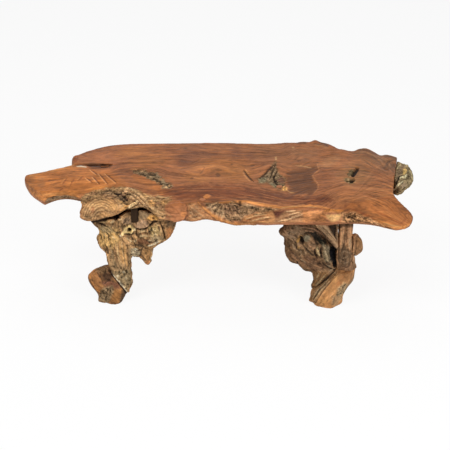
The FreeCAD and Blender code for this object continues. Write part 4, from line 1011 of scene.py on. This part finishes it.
right.line((0.38, 0.31, 0.2), 1.4, [(324, 246), (325.6, 253), (328, 261)], [(328.6, 246), (329.6, 252)],
    strength=0.65, dig=-0.002)
right.line((0.12, 0.1, 0.065), 1.4, [(326.6, 245), (327.6, 252), (330, 260)],
    [(323, 250), (324, 257), (327, 263)], dig=0.003)
# Painted shade: the pocket beside the post is stained black, as its shaded inside.
right.patch((0.008, 0.008, 0.01), 4, [(328.6, 250), (333, 245), (342, 244), (342, 267), (334, 266.4),
    (329.6, 261)], strength=1.0, dig=0.005, ragged=0.5)
right.line((0.34, 0.23, 0.14), 1.6, [(299.4, 249), (301, 252.6), (301, 256.4)], [(304, 250), (306, 254)],
    dig=-0.002)
right.patch((0.17, 0.09, 0.05), 5, [(288, 246), (300, 257), (312, 270), (300, 266), (288, 258)],
    strength=0.6)
right.patch((0.12, 0.062, 0.036), 5, [(300, 254), (318, 258), (327, 269), (312, 272)], strength=0.75)
right.line((0.29, 0.165, 0.09), 1.7, [(287.6, 252), (298, 262), (312, 270)],
    [(303, 258), (312, 264), (322, 268)], [(289, 259.6), (302, 266), (313, 271.6)], strength=0.6,
    dig=-0.0015)
right.line((0.09, 0.055, 0.035), 1.5, [(290, 251), (300, 260), (312, 267)],
    [(305, 256), (314, 262), (324, 266)], [(295, 248), (300, 253)], dig=0.003)
right.line(deep_shade, 2, [(322, 262.6), (328, 267), (334, 270), (340, 268)], strength=0.9, dig=0.004)
right.line((0.36, 0.27, 0.17), 1.4, [(327, 265), (331, 267.4)], [(329.6, 271), (333, 269)])
right.patch((0.205, 0.104, 0.042), 4, [(313, 272), (326, 271), (330, 276), (320, 284), (312, 288)],
    strength=0.75, wear=0.4)
right.line((0.33, 0.25, 0.14), 1.5, [(326, 274), (320, 281), (315.4, 286)], [(319, 273), (316, 280)],
    strength=0.65, dig=-0.0015)
right.line((0.1, 0.065, 0.035), 1.4, [(322.6, 272), (318, 280), (314, 286)], [(328.6, 275), (321, 283)],
    dig=0.002)
right.line(deep_shade, 2.4, [(312.6, 287.6), (316, 288.4), (322, 283), (332, 273.6), (338, 269)],
    strength=0.85, blunt=True)
# Near-black lines are painted shade in the crevices; the pale raised lines beside them carry a painted
# highlight.
right.line((0.03, 0.022, 0.017), 2, [(304, 234), (309, 233), (314, 235)],
    [(303, 246), (308, 252), (314, 256)], [(322, 247), (320.4, 252), (323, 258)],
    [(292, 238), (296, 243), (296, 249)], [(326, 262), (330, 265)], [(315, 240), (318, 245)],
    strength=0.75, dig=0.004, ragged=0.7)
right.line((0.36, 0.25, 0.15), 1.5, [(288, 230), (292, 233), (297, 233)],
    [(292, 244), (296, 250), (302, 254)], [(306, 247), (310, 250)], [(300, 259), (306, 262)],
    strength=0.6, dig=-0.002, ragged=0.7)
right.done(root_wood("dark_stump", (22, 80, 80), dullness=0.58, tint=(0.78, 0.7, 0.62, 1), streaks=0.6))


# Strut and post.
# A striped plank let into the stump's corner, and a rounded post with a knob on its side.
# Both are root wood, held by dowels.
strut_piece = loose_copy("right_strut", voxel=0.0022, smoothing=2)
strut = Carving(strut_piece, (0.48, 0.30, 0.175), wear=0.35)
strut.turn_grain(-46)
strut.weather(0.0012, (0.12, 0.009, 0.009), seed=81, relief_shade=0.28)
strut.line((0.42, 0.3, 0.18), 1.8, [(319, 225), (328, 234), (338, 245)],
    [(322, 224), (331, 233), (338, 241)], strength=0.6, dig=-0.001)
strut.line((0.14, 0.085, 0.05), 1.5, [(317, 226), (327, 237), (337, 247)],
    [(321, 225.4), (330, 235), (338, 243.6)], dig=0.002)
# Painted shade: the plank's right corner is stained black and sunk, for the shaded gap by the post.
strut.patch((0.02, 0.014, 0.011), 1.8, [(324.6, 222), (341, 222), (341, 244), (337, 240), (331, 232)],
    strength=0.96, dig=0.012, ragged=0.15)
strut.line(deep_shade, 1.6, [(314, 225), (326, 237), (337, 249)], strength=0.75, blunt=True)
strut.done(root_wood("strut_wood", (14, 90, 90), dullness=0.6, tint=(0.75, 0.7, 0.62, 1), streaks=0.7))
post_piece = loose_copy("right_post", voxel=0.0024, smoothing=2)
post = Carving(post_piece, (0.53, 0.295, 0.156), wear=0.4)
post.pull((360, 262, 4, -2.6, 0), (356, 236, 3, -0.6, -1), (361, 250, 4, 1, 0.6))
post.turn_grain(90)
post.weather(0.0025, (0.12, 0.016, 0.016), seed=85, relief_shade=0.25)
post.weather(0.001, (0.03, 0.008, 0.008), seed=86, relief_shade=0.2)
# Painted shadow of the slab across the post's top.
post.patch((0.03, 0.02, 0.014), 3, [(338, 221), (355, 221), (354, 227), (339, 227.6)], strength=0.85)
post.line(deep_shade, 1.8, [(338.6, 226), (339.4, 240), (338.6, 258), (341, 265), (348, 267)],
    strength=0.75, blunt=True)
post.line((0.52, 0.35, 0.21), 3, [(349.4, 238), (349.8, 244), (350, 249.6)], strength=0.9, dig=-0.003)
post.line(deep_shade, 1.8, [(352.4, 235), (352.6, 243), (352, 251)], strength=0.85, dig=0.005)
post.line((0.1, 0.06, 0.035), 1.3, [(346.8, 234), (346.6, 241), (347.4, 247)], dig=0.002)
post.line((0.33, 0.21, 0.12), 1.6, [(342.6, 230), (342.6, 240), (342, 248)], [(346, 229), (349.6, 234)],
    strength=0.55)
post.line((0.12, 0.075, 0.045), 1.4, [(344.6, 228), (344.6, 238), (343.6, 248)], dig=0.002)
post.spot((0.13, 0.083, 0.05), (344.6, 257.4, 7.4, 10.6, 0), strength=0.92, dig=-0.005, soft=0.6)
post.line((0.05, 0.032, 0.02), 1.5, [(351, 254), (351.6, 260), (349, 266), (344, 269)], dig=0.004,
    ragged=0.5)
post.line((0.34, 0.23, 0.145), 1.4, [(341, 253), (345, 250.6), (349, 252.6)], [(343, 258), (347.6, 256)],
    [(344, 263), (348.6, 261)], strength=0.6, ragged=0.6)
post.line((0.09, 0.06, 0.04), 1.4, [(343, 254), (346, 259), (345, 263)], [(348, 253), (349.4, 258)],
    strength=0.65, dig=0.002, ragged=0.6)
post.line((0.33, 0.22, 0.13), 2, [(354, 252), (355, 260), (354.6, 268)], strength=0.6)
post.line(deep_shade, 1.4, [(352.4, 252), (353, 260), (352, 268)], dig=0.003)
post.patch((0.17, 0.1, 0.06), 3, [(338, 265), (356, 263), (357, 271), (338, 273)], strength=0.8)
post.patch((0.205, 0.11, 0.052), 3, [(354, 237), (358, 235.6), (363, 241), (363, 250), (358, 256),
    (354.6, 254)], strength=0.85, wear=0.25)
post.spot((0.12, 0.07, 0.04), (357, 241, 1.1, 0.9, 0), (359, 246, 1.2, 0.8, 20),
    (356.6, 248.6, 1, 0.8, 0), (360, 250.6, 0.9, 0.8, 0), dig=0.001)
post.line((0.47, 0.27, 0.12), 1.6, [(358, 237.6), (361.6, 242.6), (361, 249)], strength=0.6)
post.done(root_wood("post_wood", (16, 26, 80), dullness=0.55, tint=(0.75, 0.7, 0.62, 1), streaks=0.62))


# Right foot.
# A leaning limb, planed to warm orange wood on its front and left rough along its back edge.
# Dowels hold it under the post and the stump.
right_foot_piece = loose_copy("right_foot", voxel=0.0020, smoothing=2)
right_foot = Carving(right_foot_piece, (0.50, 0.26, 0.11), wear=0.12)
right_foot.pull((360, 262, 5, -2.6, 0), (311, 299.6, 2.6, -2.6, 1.2), (340, 302, 5, 2.8, 1),
    (352, 281, 6, 1.8, 0))
right_foot.turn_grain(52)
right_foot.weather(0.0012, (0.1, 0.014, 0.014), seed=91, relief_shade=0.16)
right_foot.weather(0.0005, (0.03, 0.007, 0.007), seed=92, relief_shade=0.1)
right_foot.patch((0.25, 0.15, 0.077), 2, [(309, 299), (313, 289), (320, 282), (330, 274), (337, 268),
    (341, 269), (338, 274), (328, 283), (318, 297), (315.6, 304), (311, 302)], strength=0.9, wear=0.5,
    dig=0.002)
right_foot.line((0.46, 0.35, 0.21), 1.4, [(312, 298), (318, 289), (328, 279)],
    [(314, 300.6), (320, 291.6), (330, 281)], [(334, 273.4), (338.6, 270)], strength=0.65, dig=-0.0015)
right_foot.line((0.1, 0.065, 0.04), 1.5, [(315.6, 303), (322, 292), (332, 280), (340, 272)],
    [(312.6, 300), (319, 289.6), (327, 281)], strength=0.8, dig=0.003)
right_foot.spot((0.37, 0.15, 0.06), (339, 283, 3.4, 2, -50), (343, 277, 2.6, 1.6, -50), strength=0.6,
    soft=1.0)
right_foot.patch((0.3, 0.245, 0.155), 3, [(338, 288), (344, 282), (348, 284), (346, 292), (340, 298),
    (336, 296)], strength=0.75, wear=0.9)
right_foot.patch((0.34, 0.235, 0.14), 3, [(332, 296), (338, 294), (341, 299), (337, 306), (331, 306)],
    wear=0.35)
right_foot.line((0.16, 0.12, 0.075), 1.2, [(341, 286), (339, 291)], [(344.6, 285), (343, 290)],
    [(335, 297), (333, 303)], strength=0.65, dig=0.0015)
right_foot.line((0.14, 0.1, 0.06), 3, [(356, 268), (355, 276), (350, 283), (345, 292)], strength=0.75)
right_foot.spot((0.58, 0.31, 0.12), (323, 301, 6, 3.4, -10), (336, 278, 5, 3, -45), strength=0.5,
    soft=1.1)
right_foot.line((0.4, 0.19, 0.075), 1.2, [(321, 302), (326, 293), (335, 284)],
    [(326, 303), (331, 292), (338, 286)], [(330, 288), (340, 277), (347, 271)], strength=0.5)
right_foot.spot(umber, (332.4, 307.6, 1.2, 0.8, 0), strength=0.8)
right_foot.patch((0.28, 0.138, 0.06), 4, [(336, 270), (352, 268), (354, 276), (346, 283), (337, 280)])
right_foot.done(root_wood("right_foot_wood", (24, 80, 80), dullness=0.46, tint=(0.8, 0.7, 0.6, 1),
    streaks=0.4))


# Tenon, knot plugs and dowels.
# Turned and squared pegs of straight-grained wood, fitted tight; most are hidden in their bores.
def peg_wood(name, colour, dullness):
    """Straight-grained wood for the pegs."""
    finish = Finish(bpy.data.materials.new(name))
    place = finish.node("ShaderNodeTexCoord", output="Object")
    lines = finish.noise(finish.stretched(place, (160, 160, 12)), detail=4.0, roughness=0.6)
    specks = finish.noise(place, scale=240.0, detail=2.0)
    tone = 1.0 + 0.7 * (lines - 0.5) + 0.4 * (specks - 0.5)
    roughness = dullness + 0.2 * (specks - 0.5)
    return finish.wood(finish.shade(colour, tone), roughness, lines + 0.4 * specks, 0.0008)


peg_finishes = {
    # Painted shade: the tenon is stained near black, as it sits in shadow under the slab.
    "stump_tenon": peg_wood("shadowed_tenon", (0.03, 0.017, 0.009), dullness=0.7),
    "knot_plug": peg_wood("plug_knot", (0.38, 0.15, 0.064), dullness=0.42),
    "dowel": peg_wood("turned_dowel", (0.36, 0.24, 0.13), dullness=0.55),
}
for name, node in nodes.items():
    for kind, material in peg_finishes.items():
        if kind in name:
            node.data.materials.clear()
            node.data.materials.append(material)


# Stage.
# A plain pale floor and soft light from above and both sides.
bpy.ops.mesh.primitive_plane_add(size=24)
floor = bpy.context.object
floor.name = "floor"
pale_floor = Finish(bpy.data.materials.new("pale_floor"))
seen_straight = pale_floor.node("ShaderNodeLightPath", output="Is Camera Ray")
matt = pale_floor.node("ShaderNodeBsdfDiffuse", None, {"Color": (0.86, 0.86, 0.86, 1)})
white = pale_floor.node("ShaderNodeEmission", None, {"Color": (1, 1, 1, 1), "Strength": 1.0})
blended = pale_floor.node("ShaderNodeMixShader", None, {0: seen_straight * 0.9, 1: matt, 2: white})
pale_floor.node("ShaderNodeOutputMaterial", None, {"Surface": blended})
floor.data.materials.append(pale_floor.owner)

world = bpy.data.worlds.new("studio")
bpy.context.scene.world = world
studio = Finish(world)
seen, mirrored, through = (studio.node("ShaderNodeLightPath", output=ray)
    for ray in ("Is Camera Ray", "Is Glossy Ray", "Is Transmission Ray"))
dome = studio.node("ShaderNodeBackground", None, {"Strength": 0.42})
backdrop = studio.node("ShaderNodeBackground", None, {"Color": (1, 1, 1, 1)})
plain = seen.larger(mirrored).larger(through)
surround = studio.node("ShaderNodeMixShader", None, {0: plain, 1: dome, 2: backdrop})
studio.node("ShaderNodeOutputWorld", None, {"Surface": surround})

for name, place, turn, size, power in (
    ("key_light", (-1.8, -2.6, 3.6), (0.64, 0.0, -0.55), 2.2, 106),
    ("fill_light", (2.6, -3.0, 1.9), (1.06, 0.0, 0.68), 2.0, 84),
    ("top_light", (0.0, 1.6, 4.4), (-0.35, 0.0, 0.0), 3.4, 50),
):
    bpy.ops.object.light_add(type="AREA", location=place, rotation=turn)
    lamp = bpy.context.object
    lamp.name = name
    lamp.data.size = size
    lamp.data.energy = power

bpy.context.scene.view_settings.view_transform = "Standard"
